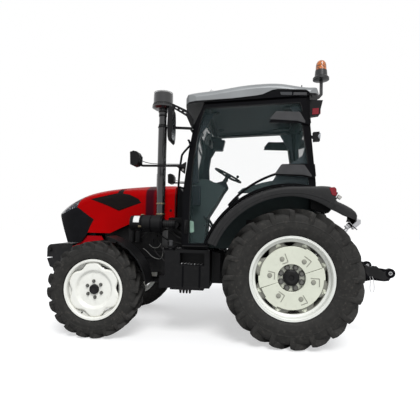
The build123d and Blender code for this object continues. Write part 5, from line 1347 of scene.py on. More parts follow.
@dataclass
class Tanks:
    """Caps, steps, straps and edge bands of the tank on the left and the battery box on the right."""

    def build(self) -> None:
        """Makes the fittings of both boxes."""
        make = Maker("chassis")
        make.piece("filler_neck", lathe([(-0.05, 1e-6), (-0.05, 0.024), (0.03, 0.024), (0.034, 0.028),
            (0.046, 0.028), (0.05, 0.022), (0.05, 1e-6)], (-0.415, -0.72, 1.07), (0, 0, 1), 28),
            HINGE_GREY, sharp=30.0)
        make.piece("tank_ledge", block((-0.397, -0.803, 0.568), (-0.013, -0.66, 0.606))
            + merged(prism([(x, 0.569), (x + 0.03, 0.569), (x + 0.024, 0.53), (x + 0.006, 0.53)], -0.803,
            -0.78) for x in np.arange(-0.29, -0.15, 0.036)), PLASTIC, bevel=0.004)
        cap = lathe([(0.0, 0.03), (0.0, 0.05), (0.006, 0.054), (0.022, 0.054), (0.028, 0.048),
            (0.03, 0.018), (0.036, 0.014), (0.036, 1e-6)], (-0.404, -0.7, 1.03), (0, 0, 1), 36,
            closed=False)
        make.piece("fuel_cap", cap + merged(block((-0.404 + 0.052 * math.cos(a) - 0.004,
            -0.7 + 0.052 * math.sin(a) - 0.004, 1.037), (-0.404 + 0.052 * math.cos(a) + 0.004,
            -0.7 + 0.052 * math.sin(a) + 0.004, 1.053)) for a in np.arange(12) * math.tau / 12), PLASTIC,
            sharp=30.0)
        make.pair("step_treads", merged(block((x, -0.798, z), (x + 0.018, -0.674, z + 0.005))
            for x, z in zip(np.arange(-0.278, -0.03, 0.036), np.linspace(0.8622, 0.8492, 7))), STEEL,
            bevel=0.0015)
        make.pair("step_edge", prism([(-0.293, 0.858), (-0.008, 0.844), (-0.008, 0.852), (-0.293, 0.866)],
            -0.806, -0.796), BLACK_ENAMEL, bevel=0.002)
        make.pair("tank_straps", merged(block((x - 0.01, -0.806, 0.6), (x + 0.01, -0.797, 0.843))
            for x in (-0.252, -0.06)), BLACK_ENAMEL, bevel=0.003)
        rail = pipe([(-0.325, -0.8, 1.751), (-0.316, -0.806, 1.9), (-0.298, -0.806, 2.064),
            (-0.283, -0.806, 2.114), (-0.215, -0.806, 2.195), (-0.2, -0.806, 2.216),
            (-0.214, -0.806, 2.262), (-0.226, -0.78, 2.275)], 48, 0.0125, 12)
        make.pair("grab_rail", rail + pipe([(-0.325, -0.8, 1.751), (-0.322, -0.792, 1.735),
            (-0.3, -0.76, 1.728), (-0.286, -0.73, 1.728)], 16, 0.0125, 12), BLACK_ENAMEL)
        make.pair("under_cab_shield", slab([(0.055, 0.64), (0.16, 0.66), (0.16, 0.98), (0.055, 1.0)],
            0.012, -0.62, -0.58), PLASTIC, bevel=0.004)


# ---------------------------------------------------------------- cab
@dataclass
class Cab:
    """Seals, trims, headliner, handles and roof fittings."""

    def build(self) -> None:
        """Makes the fixed trims, then those on the doors."""
        make = Maker("chassis")
        self.headliner(make)
        self.roof(make)
        self.fixed(make)
        for side_name, side in SIDES.items():
            self.door(side_name, side)

    def headliner(self, make: Maker) -> None:
        """Moulded lining: z = 2.700 + 0.0567 x, lowered by a soft border and two shallow domes."""
        u, v = np.meshgrid(np.linspace(-0.03, 1.06, 40), np.linspace(-0.66, 0.66, 44), indexing="ij")
        make.piece("headliner", grid(np.stack([u, v, (2.6785 + 0.0567 * u
            + 0.022 * (np.minimum((v + 0.66) * (0.66 - v) * 14, 1.0) * np.minimum((u
            + 0.03) * (1.06 - u) * 14, 1.0)) + 0.4 * (0.012 * np.cos(v / 0.66 * math.pi) * np.cos(
            (u - 0.5) / 1.1 * math.pi)))], axis=-1)), HEADLINER, thickness=0.006)
        make.piece("air_vents", merged([lathe([(0.0, 1e-6), (0.0, 0.02), (-0.006, 0.022), (-0.006, 0.04),
            (0.0, 0.044), (0.012, 0.044)], (x, y, 2.69), (0, 0, 1), 28, closed=False)
            for x in (0.05, 0.85) for y in (-0.42, 0.42)]), PLASTIC, sharp=30.0)
        speaker = lathe([(0.0, 1e-6), (-0.004, 0.05), (-0.01, 0.075), (-0.004, 0.084), (0.012, 0.084)],
            (0.95, -0.5, 2.715), (0, 0, 1), 40, closed=False)
        make.piece("speakers", speaker + speaker.mirrored(), PLASTIC, sharp=30.0)

    def roof(self, make: Maker) -> None:
        """Side lamps in the bands, the seam between cap and rear cover, lifting eye and aerial stub."""
        make.pair("roof_side_panel", slab([(0.953, 2.782), (1.108, 2.78), (1.104, 2.822), (0.955, 2.826)],
            0.008, -0.757, -0.745), HINGE_GREY, bevel=0.003)
        make.pair("roof_side_lamp", slab([(0.805, 2.83), (0.943, 2.826), (0.939, 2.788), (0.816, 2.792)],
            0.01, -0.764, -0.75), LAMP_DARK, bevel=0.004)
        make.pair("roof_band_edge", pipe([(0.56, -0.752, 2.775), (0.612, -0.753, 2.792),
            (0.68, -0.754, 2.825), (0.762, -0.755, 2.85), (0.92, -0.756, 2.849), (1.09, -0.756, 2.842),
            (1.13, -0.755, 2.825), (1.165, -0.752, 2.762)], 60, 0.0075, 10), PLASTIC)
        turn = np.linspace(0, math.tau, 30)
        make.piece("lifting_eye", tube(np.column_stack([0.015 + 0.02 * np.cos(turn), np.full(30, -0.6),
            2.905 + 0.02 * np.sin(turn)]), 0.0055, 8) + lathe([(-0.02, 1e-6), (-0.02, 0.018),
            (0.006, 0.018), (0.008, 0.008), (0.03, 0.006), (0.03, 1e-6)], (0.015, -0.6, 2.858),
            (0, 0, 1), 18), STEEL)
        make.piece("aerial_stub", lathe([(0.0, 1e-6), (0.0, 0.02), (0.01, 0.018), (0.016, 0.008),
            (0.05, 0.006), (0.058, 1e-6)], (1.082, -0.5, 2.945), (0, 0, 1), 20), PLASTIC, sharp=30.0)

    def fixed(self, make: Maker) -> None:
        """Windshield seal, wiper and its arm, and the lock posts of the doors."""
        posts = [(-0.29, 1.64), (-0.258, 1.882), (-0.214, 2.226), (-0.169, 2.468), (-0.086, 2.645)]
        make.pair("screen_seal", pipe([(x - 0.004, -0.672, z) for x, z in posts], 40, 0.007, 8), SEAL)
        make.piece("screen_wiper", pipe([(-0.275, 0.02, 1.665), (-0.282, 0.1, 1.76), (-0.272, 0.26, 1.88),
            (-0.262, 0.34, 1.94)], 24, 0.006, 8) + pipe([(-0.3, 0.02, 1.7), (-0.262, 0.22, 1.9),
            (-0.222, 0.42, 2.2)], 24, 0.007, 8, 1.8), PLASTIC)
        make.pair("sill_strip", pipe([(-0.272, -0.772, 1.062), (-0.1, -0.772, 1.062),
            (0.03, -0.772, 1.068)], 20, 0.006, 8), SEAL)
        make.pair("front_post_trim", slab([(-0.105, 2.655), (0.054, 2.619), (-0.05, 2.45),
            (-0.096, 2.385), (-0.132, 2.25), (-0.135, 2.15), (-0.125, 1.945), (-0.118, 1.8),
            (-0.27, 1.76), (-0.258, 1.88), (-0.214, 2.226), (-0.172, 2.45)], 0.01, -0.655, -0.61),
            POST_TRIM, bevel=0.006)
        make.pair("rear_post_trim", slab([(0.93, 2.68), (1.047, 2.478), (1.094, 2.43), (1.108, 2.244),
            (1.075, 2.12), (0.981, 2.05), (0.8, 1.93), (0.72, 1.775), (1.165, 1.785), (1.135, 2.25),
            (1.095, 2.69)], 0.01, -0.695, -0.66), QUARTER_TRIM, bevel=0.006)
        make.pair("arch_pad", slab([(0.338, 1.69), (0.4, 1.745), (0.62, 1.812), (0.74, 1.84),
            (0.76, 1.7)], 0.012, -0.6, -0.53), CAB_TRIM, bevel=0.008)
        make.pair("kick_patch", slab([(-0.212, 1.353), (-0.166, 1.342), (-0.159, 1.218), (-0.209, 1.206)],
            0.012, -0.632, -0.62), SAFETY_GREEN, bevel=0.003)
        make.piece("inner_mirror", slab([(-0.07, 2.36), (-0.03, 2.36), (-0.03, 2.44), (-0.07, 2.44)],
            0.01, -0.11, 0.11), PLASTIC, bevel=0.008)
        make.piece("inner_mirror_stay", pipe([(-0.06, 0.0, 2.43), (-0.05, 0.0, 2.55), (-0.04, 0.0, 2.66)],
            12, 0.006, 8), PLASTIC)

    def door(self, side_name: str, side: int) -> None:
        """Pane seal, lock, outside handle, inner pull, low bar and hinge covers of one door."""
        make = Maker(f"door_{side_name}")

        seal = [(-0.204, 1.1), (-0.197, 1.541), (-0.17, 1.996), (-0.116, 2.389), (-0.062, 2.6),
            (-0.034, 2.646), (0.05, 2.657), (0.5, 2.681), (0.98, 2.702), (1.03, 2.69), (1.056, 2.62),
            (1.06, 2.456), (1.121, 2.05), (1.136, 1.84)]
        make.piece(f"pane_seal_{side_name}", pipe(np.array([(x, -0.7575, z) for x, z in seal]), 110,
            0.005, 8).on(side), SEAL)
        make.piece(f"door_lock_{side_name}", slab([(-0.25, 1.2), (-0.21, 1.2), (-0.212, 1.36),
            (-0.252, 1.36)], 0.014, -0.785, -0.755).on(side), PLASTIC, bevel=0.005)
        make.piece(f"door_handle_{side_name}", pipe([(-0.232, -0.783, 1.22), (-0.234, -0.802, 1.24),
            (-0.236, -0.803, 1.3), (-0.236, -0.783, 1.33)], 20, 0.0085, 10).on(side), PLASTIC)
        make.piece(f"door_pull_{side_name}", pipe([(0.359, -0.745, 1.626), (0.335, -0.728, 1.6),
            (0.28, -0.722, 1.562), (0.249, -0.745, 1.538)], 20, 0.01, 10).on(side), PLASTIC)
        make.piece(f"door_low_bar_{side_name}", pipe([(-0.035, -0.745, 1.294), (-0.02, -0.715, 1.295),
            (0.05, -0.712, 1.296), (0.1, -0.715, 1.297), (0.116, -0.745, 1.297)], 20, 0.008,
            10).on(side), PLASTIC)
        covers = [[(0.69, 2.51), (0.764, 2.604), (1.027, 2.59), (1.088, 2.486), (1.084, 2.462),
            (1.001, 2.489)], [(0.758, 1.893), (0.83, 2.001), (1.083, 1.998), (1.165, 1.88),
            (1.165, 1.862), (1.067, 1.885)]]
        make.piece(f"hinge_covers_{side_name}", merged(slab(cover, 0.012, -0.789, -0.779)
            for cover in covers).on(side), HINGE_GREY, bevel=0.004)


@dataclass
class Cockpit:
    """Dash, steering wheel, levers, pedals, side console and monitor."""

    hub: Point = (0.192, 0.0, 1.972)
    tilt: float = 28.0

    def build(self) -> None:
        """Makes the driver's controls on the chassis."""
        make = Maker("chassis")
        self.wheel(make)
        make.piece("dash_cowl", slab([(-0.24, 1.84), (-0.14, 1.905), (-0.02, 1.885), (0.06, 1.83),
            (0.02, 1.8), (-0.2, 1.8)], 0.03, -0.19, 0.19), CAB_TRIM, bevel=0.012)
        make.piece("instrument_blocks", merged([slab([(-0.251, 1.8), (-0.14, 1.802), (-0.134, 1.551),
            (-0.244, 1.537)], 0.02, -0.33, -0.26), slab([(0.02, 1.86), (0.16, 1.9), (0.205, 1.8),
            (0.13, 1.7), (0.05, 1.72)], 0.03, -0.075, 0.075)]), POST_TRIM, bevel=0.01)
        make.piece("dash_display", slab([(0.03, 1.802), (0.066, 1.836), (0.06, 1.842), (0.024, 1.808)],
            0.002, -0.15, 0.15), DARK_SCREEN, bevel=0.002)
        make.piece("column_stalks", merged([pipe([(0.15, 0.03, 1.87), (0.17, 0.12, 1.9),
            (0.18, 0.19, 1.93)], 14, 0.006, 8), pipe([(0.15, -0.03, 1.87), (0.17, -0.12, 1.9),
            (0.18, -0.19, 1.93)], 14, 0.006, 8)]), PLASTIC)
        self.pedals(make)
        self.side_console(make)
        self.monitor(make)

    def wheel(self, make: Maker) -> None:
        """Steering wheel: a padded ring, three spokes that dip to the hub, a cap and a spinner knob."""
        tilt = math.radians(self.tilt)
        up = np.array([math.sin(tilt), 0.0, math.cos(tilt)])
        side = np.array([0.0, 1.0, 0.0])
        ahead = np.cross(side, up)
        centre = np.array(self.hub)
        angle = np.linspace(0.0, math.tau, 72, endpoint=False)
        tube_angle = np.linspace(0.0, math.tau, 12, endpoint=False)
        out = np.cos(angle)[:, None] * side + np.sin(angle)[:, None] * ahead
        radius = 0.191 + 0.0135 * np.cos(tube_angle)
        ring = grid(centre + out[:, None, :] * radius[None, :, None]
            + (0.0125 * np.sin(tube_angle))[None, :, None] * up, True, True)
        spokes = []
        for a in (math.pi / 2, math.pi / 2 + 2.2, math.pi / 2 - 2.2):
            way = math.cos(a) * side + math.sin(a) * ahead
            path = [centre + way * r - up * d for r, d in ((0.035, 0.02), (0.09, 0.018), (0.15, 0.008),
                (0.188, 0.0))]
            spokes.append(pipe(path, 16, np.linspace(0.016, 0.01, 16), 10, 0.5))
        cap = lathe([(-0.03, 1e-6), (-0.03, 0.03), (-0.016, 0.044), (0.0, 0.044), (0.01, 0.034),
            (0.012, 1e-6)], centre, up, 32, closed=False)
        column = lathe([(-0.17, 0.03), (-0.14, 0.034), (-0.13, 0.028), (-0.11, 0.033), (-0.1, 0.027),
            (-0.08, 0.031), (-0.07, 0.025), (-0.028, 0.026)], centre, up, 28, closed=False)
        make.piece("padded_steering_wheel", merged([ring, cap, column,
            lathe([(0.0, 0.007), (0.018, 0.007), (0.022, 0.016), (0.04, 0.019), (0.05, 0.014),
            (0.053, 1e-6)], centre + (side * -0.7 + ahead * 0.7) * 0.191, up, 20, closed=False)]
            + spokes), PLASTIC, stands_for=["steering_wheel"])

    def pedals(self, make: Maker) -> None:
        """Hanging pedals: curved arms with ribbed pads, and a floor mat."""
        pads, arms = [], []
        for y in (-0.17, 0.06, 0.15, 0.26):
            y = y - 0.05
            arms.append(pipe([(-0.1, y, 1.42), (-0.02, y, 1.3), (0.03, y, 1.2), (0.045, y, 1.17)], 14,
                0.008, 8))
            pads.append(slab([(0.03, 1.12), (0.045, 1.115), (0.085, 1.2), (0.07, 1.21)], 0.004, y - 0.035,
                y + 0.035))
            pads += [prism([(0.044 + 0.009 * k, 1.118 + 0.02 * k), (0.05 + 0.009 * k, 1.116 + 0.02 * k),
                (0.053 + 0.009 * k, 1.122 + 0.02 * k), (0.047 + 0.009 * k, 1.124 + 0.02 * k)], y - 0.032,
                y + 0.032) for k in range(5)]
        make.piece("pedals", merged(pads + arms), PLASTIC)
        u, v = np.meshgrid(np.linspace(-0.08, 0.42, 60), np.linspace(-0.52, 0.52, 40), indexing="ij")
        make.piece("floor_mat", grid(np.stack([u, v, 1.0635 + 0.0012 * np.cos(u * math.tau / 0.025)],
            axis=-1)), SEAL, thickness=0.004)

    def side_console(self, make: Maker) -> None:
        """Console along the right wheel arch with its armrest, stick, levers and buttons."""
        make.piece("side_console", slab([(0.46, 1.42), (0.4, 1.62), (0.43, 1.7), (0.6, 1.73),
            (1.02, 1.76), (1.06, 1.72), (1.06, 1.42)], 0.03, 0.3, 0.5), CAB_TRIM, bevel=0.012)
        make.piece("armrest", slab([(0.55, 1.8), (0.54, 1.84), (0.58, 1.865), (0.92, 1.885), (0.94, 1.85),
            (0.92, 1.82)], 0.015, 0.27, 0.37), FABRIC, bevel=0.02)
        stick = pipe([(0.5, 0.36, 1.71), (0.485, 0.36, 1.78), (0.49, 0.36, 1.84)], 14,
            np.interp(np.linspace(0, 1, 14), [0, 0.5, 0.7, 1], [0.008, 0.01, 0.019, 0.022]), 12)
        make.piece("hand_levers", merged([stick] + ([pipe([(x, 0.44, 1.74), (x - 0.02, 0.44, 1.8),
            (x - 0.03, 0.44, 1.84)], 12, np.interp(np.linspace(0, 1, 12), [0, 0.6, 0.8, 1],
            [0.005, 0.005, 0.012, 0.011]), 10) for x in (0.62, 0.68, 0.74, 0.8)])), PLASTIC)
        make.piece("console_knobs", merged(lathe([(0.0, 0.012), (0.012, 0.011), (0.014, 0.009),
            (0.014, 1e-6)], (x, y, 1.745), (0, 0, 1), 16, closed=False) for x in (0.86, 0.9, 0.94, 0.98)
            for y in (0.41, 0.45)), LENS_ORANGE)

    def monitor(self, make: Maker) -> None:
        """Display on a stalk by the right post."""
        make.piece("monitor", slab([(-0.009, 2.548), (0.12, 2.536), (0.088, 2.385), (-0.03, 2.385)], 0.02,
            0.34, 0.46), POST_TRIM, bevel=0.012)
        make.piece("monitor_screen", slab([(0.121, 2.526), (0.1225, 2.5255), (0.0925, 2.395),
            (0.0905, 2.3955)], 0.0005, 0.35, 0.45), DARK_SCREEN)
        make.piece("monitor_arm", pipe([(0.0, 0.42, 2.45), (-0.05, 0.52, 2.4), (-0.1, 0.6, 2.34),
            (-0.13, 0.64, 2.32)], 20, 0.014, 10), PLASTIC)


@dataclass
class Seat:
    """Suspension seat: cushions swollen by a cloth run, bellows and frame."""

    move_cap: float = 0.016

    def build(self) -> None:
        """Makes the seat; its pieces stand for the plain one."""
        make = Maker("chassis")
        low = self.pad_form((0.5, 0.92), (-0.24, 0.24), 1.565, 1.655)
        cushion = self.pad(make, "seat_cushion", low)
        back = self.pad(make, "seat_back", self.back_form())
        u = np.linspace(0.0, 1.0, 46)
        pleat = 0.012 * np.cos(u * math.tau * 6)
        w, d = 0.165 - 0.02 * u + pleat, 0.155 - 0.02 * u + pleat
        angle = np.linspace(0.0, math.tau, 48, endpoint=False)
        c, s = np.cos(angle), np.sin(angle)
        power = np.abs(c) ** 0.5 * np.sign(c), np.abs(s) ** 0.5 * np.sign(s)
        bellows = make.piece("seat_bellows", grid(np.stack([0.735 + d[:, None] * power[0],
            w[:, None] * power[1], np.broadcast_to((1.405 + 0.15 * u)[:, None], (46, 48))], axis=-1),
            close_v=True), SEAL, thickness=0.003)
        pan = make.piece("seat_pan", slab([(0.52, 1.545), (0.93, 1.545), (0.93, 1.57), (0.52, 1.57)],
            0.01, -0.225, 0.225), PLASTIC, bevel=0.006)
        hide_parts("seat")
        for part in (back, bellows, pan):
            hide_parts("seat")
        make.piece("seat_shell", self.shell(), PLASTIC, thickness=0.006)

    def pad_form(self, x: Pair, y: Pair, z_low: float, z_high: float) -> Shape:
        """Closed pillow: a superellipse in plan, carried from bottom to top with rounded edges."""
        v = np.linspace(-math.pi / 2, math.pi / 2, 22)
        angle = np.linspace(0.0, math.tau, 64, endpoint=False)
        c, s = np.cos(angle), np.sin(angle)
        plan = np.abs(c) ** 0.35 * np.sign(c), np.abs(s) ** 0.35 * np.sign(s)
        level, width = np.sign(np.sin(v)) * np.abs(np.sin(v)) ** 0.6, np.abs(np.cos(v)) ** 0.3
        half = (x[1] - x[0]) / 2, (y[1] - y[0]) / 2, (z_high - z_low) / 2
        points = np.stack([(x[0] + x[1]) / 2 + half[0] * 0.95 * width[:, None] * plan[0],
            (y[0] + y[1]) / 2 + half[1] * 0.95 * width[:, None] * plan[1],
            (z_low + z_high) / 2 + half[2] * 0.8 * level[:, None] + 0 * plan[0]], axis=-1)
        return grid(points, close_v=True)

    def back_form(self) -> Shape:
        """The back cushion: the same pillow, stood up and leaned along the seat's back."""
        flat = self.pad_form((-0.2, 0.2), (-0.225, 0.225), -0.045, 0.045)
        lean = Matrix.Translation((0.962, 0.0, 1.805)) @ Matrix.Rotation(math.radians(-82.0), 4, "Y")
        return flat.turned(lean)

    def shell(self) -> Shape:
        """Moulded shell behind the back cushion, curved across as x = 1.025 - 0.25 y^2 + lean."""
        u, v = np.meshgrid(np.linspace(1.6, 1.995, 30), np.linspace(-0.215, 0.215, 30), indexing="ij")
        x = 0.955 + 0.19 * (u - 1.6) + 0.045 - 0.5 * v ** 2
        return grid(np.stack([x, v, u], axis=-1))

    def pad(self, make: Maker, name: str, form: Shape) -> bpy.types.Object:
        """Cushion: voxel remesh, cloth pressure for 20 frames, movement capped, one subdivision.

        Args:
            make: the maker of the body it rides on.
            name: its name.
            form: the form it starts from, a little small.
        Returns:
            The finished cushion.
        """
        made = make.piece(name, form, FABRIC, sharp=180.0)
        self.swell(made)
        fine = made.modifiers.new("fine", "SUBSURF")
        fine.levels = fine.render_levels = 1
        return made

    def swell(self, made: bpy.types.Object) -> None:
        """Runs the cloth on a cushion and keeps the result, each point moved by the cap at most."""
        scene = bpy.context.scene
        remesh = made.modifiers.new("skin", "REMESH")
        remesh.mode, remesh.voxel_size = "VOXEL", 0.0055
        self.apply(made)
        start = self.points_of(made.data)
        cloth = made.modifiers.new("cloth", "CLOTH")
        cloth.settings.use_pressure = True
        cloth.settings.uniform_pressure_force = 4.0
        cloth.settings.effector_weights.gravity = 0.0
        cloth.settings.quality = 4
        cloth.collision_settings.use_collision = False
        for number in range(1, 21):
            scene.frame_set(number)
        self.apply(made)
        end = self.points_of(made.data)
        move = end - start
        length = np.maximum(np.linalg.norm(move, axis=1, keepdims=True), 1e-9)
        capped = start + move * np.minimum(1.0, self.move_cap / length)
        made.data.vertices.foreach_set("co", capped.ravel())
        made.data.update()
        made.data.shade_smooth()
        scene.frame_set(1)

    @staticmethod
    def points_of(mesh: bpy.types.Mesh) -> Array:
        """The mesh's points as an array."""
        flat = np.empty(len(mesh.vertices) * 3)
        mesh.vertices.foreach_get("co", flat)
        return flat.reshape(-1, 3)

    @staticmethod
    def apply(made: bpy.types.Object) -> None:
        """Bakes the object's modifiers into its mesh."""
        graph = bpy.context.evaluated_depsgraph_get()
        baked = bpy.data.meshes.new_from_object(made.evaluated_get(graph))
        made.modifiers.clear()
        made.data = baked


# ---------------------------------------------------------------- lamps and mirrors
@dataclass
class Lamps:
    """Lenses, bezels and brackets of the lamps round the cab."""

    def build(self) -> None:
        """Makes every lamp's visible face."""
        make = Maker("chassis")
        self.front(make)
        self.back(make)

    def front(self, make: Maker) -> None:
        """Front road lamps: a ribbed lens in a bezel, an orange marker beside it, and a cable.

        The lamp's face leans: x = -0.822 - 0.0423 (z - 1.958).
        """
        lean = sheared(-0.0423, -0.822, 1.958)
        make.pair("road_lamp_lens", slab([(-1.002, 1.968), (-0.926, 1.968), (-0.926, 2.094),
            (-1.002, 2.094)], 0.012, -0.009, 0.003, "X").turned(lean), WORK_LENS, bevel=0.003)
        outer = rounded([(-1.0115, 1.9585), (-0.8705, 1.9585), (-0.8705, 2.103), (-1.0115, 2.103)], 0.014)
        inner = rounded([(-1.004, 1.966), (-0.878, 1.966), (-0.878, 2.096), (-1.004, 2.096)], 0.012)
        make.pair("road_lamp_bezel", grid(np.stack(([np.array([(x, y, z) for y, z in outline])
            for x, outline in ((0.004, outer), (-0.009, outer), (-0.009, inner), (0.004, inner))])),
            close_v=True).turned(lean), PLASTIC, sharp=30.0)
        make.pair("turn_lamp_lens", slab([(-0.92, 1.97), (-0.88, 1.97), (-0.88, 2.092), (-0.92, 2.092)],
            0.008, -0.008, 0.003, "X").turned(lean), LENS_ORANGE, bevel=0.002)
        make.pair("lamp_cable", pipe([(-0.74, -0.905, 2.02), (-0.69, -0.905, 2.0), (-0.6, -0.893, 1.985),
            (-0.4, -0.892, 1.981), (-0.3, -0.885, 1.981), (-0.262, -0.8, 1.984), (-0.262, -0.74, 1.98)],
            50, 0.004, 8), HOSE)
        make.pair("lamp_bracket_bolts", bolt_heads([(-0.287, -0.7475, 1.985), (-0.287, -0.7475, 1.938)],
            (0, -1, 0), 0.02, 0.01), NUT_GREY)

    def back(self, make: Maker) -> None:
        """Corner lamps in red and orange, work lamps, and the lamps at the fender tails."""
        make.pair("corner_lamp_red", slab([(1.172, 2.578), (1.244, 2.586), (1.246, 2.655), (1.174, 2.65)],
            0.006, -0.7145, -0.706), LENS_RED, bevel=0.002)
        make.pair("corner_lamp_rear", slab([(-0.7, 2.595), (-0.645, 2.595), (-0.645, 2.73), (-0.7, 2.73)],
            0.006, 1.262, 1.272, "X").moved(x=-0.004), LENS_RED, bevel=0.002)
        make.pair("rear_work_lamp", lathe([(-0.02, 1e-6), (-0.02, 0.03), (-0.004, 0.043), (0.004, 0.046),
            (0.007, 0.042), (0.008, 1e-6)], (1.262, -0.67, 2.337), (1, 0, -0.1), 32, closed=False),
            WORK_LENS, sharp=30.0)
        make.pair("fender_lamp_red", prism(rounded([(1.318, 1.728), (1.372, 1.738), (1.392, 1.716),
            (1.393, 1.64), (1.345, 1.652)], 0.01), -0.957, -0.935), LENS_RED, bevel=0.004)
        make.pair("fender_lamp_orange", block((1.33, -0.905, 1.64), (1.394, -0.872, 1.726)), LENS_ORANGE,
            bevel=0.008)
        plate = slab([(1.398, 1.628), (1.432, 1.604), (1.452, 1.634), (1.418, 1.66)], 0.006, -0.95, -0.905)
        make.pair("plate_lamp", plate, NUT_GREY, bevel=0.004)
        make.pair("plate_lamp_stalk", pipe([(1.386, -0.925, 1.6), (1.398, -0.926, 1.618),
            (1.412, -0.927, 1.632)], 8, 0.006, 8), BLACK_ENAMEL)


@dataclass
class Mirrors:
    """Mirror glasses, shells' rims and pivots."""

    waist: Pair = (-0.366, 2.4)
    slope: float = 0.0343

    def build(self) -> None:
        """Makes two glasses in each head, a rim round them, and clamps on the arms."""
        make = Maker("chassis")
        make.pair("mirror_glass", self.glass(2.412, 2.562, -self.slope)
            + self.glass(2.24, 2.392, self.slope), MIRROR, bevel=0.0015)
        x = self.waist[0]
        make.pair("mirror_clamps", lathe([(-0.022, 1e-6), (-0.022, 0.02), (0.022, 0.02), (0.022, 1e-6)],
            (x - 0.026, -0.87, 2.552), (0, 1, 0), 20) + lathe([(-0.02, 1e-6), (-0.02, 0.018),
            (0.02, 0.018), (0.02, 1e-6)], (x - 0.03, -0.87, 2.4), (0, 1, 0), 20), PLASTIC, sharp=30.0)
        turn = np.linspace(0.0, math.tau, 96, endpoint=True)
        y = -0.945 - 0.101 * np.sign(np.cos(turn)) * np.abs(np.cos(turn)) ** 0.3
        z = 2.4 + 0.172 * np.sign(np.sin(turn)) * np.abs(np.sin(turn)) ** 0.3
        make.pair("mirror_rim", tube(np.column_stack([x - self.slope * np.abs(z - 2.4), y, z]), 0.0045,
            8), PLASTIC)

    def glass(self, low: float, high: float, slope: float) -> Shape:
        """One glass: a rounded plate sheared so that x = waist + slope (z - 2.400)."""
        flat = slab([(-1.036, low), (-0.854, low), (-0.854, high), (-1.036, high)], 0.02, -0.004, 0.0022,
            "X")
        return flat.turned(sheared(slope, *self.waist))


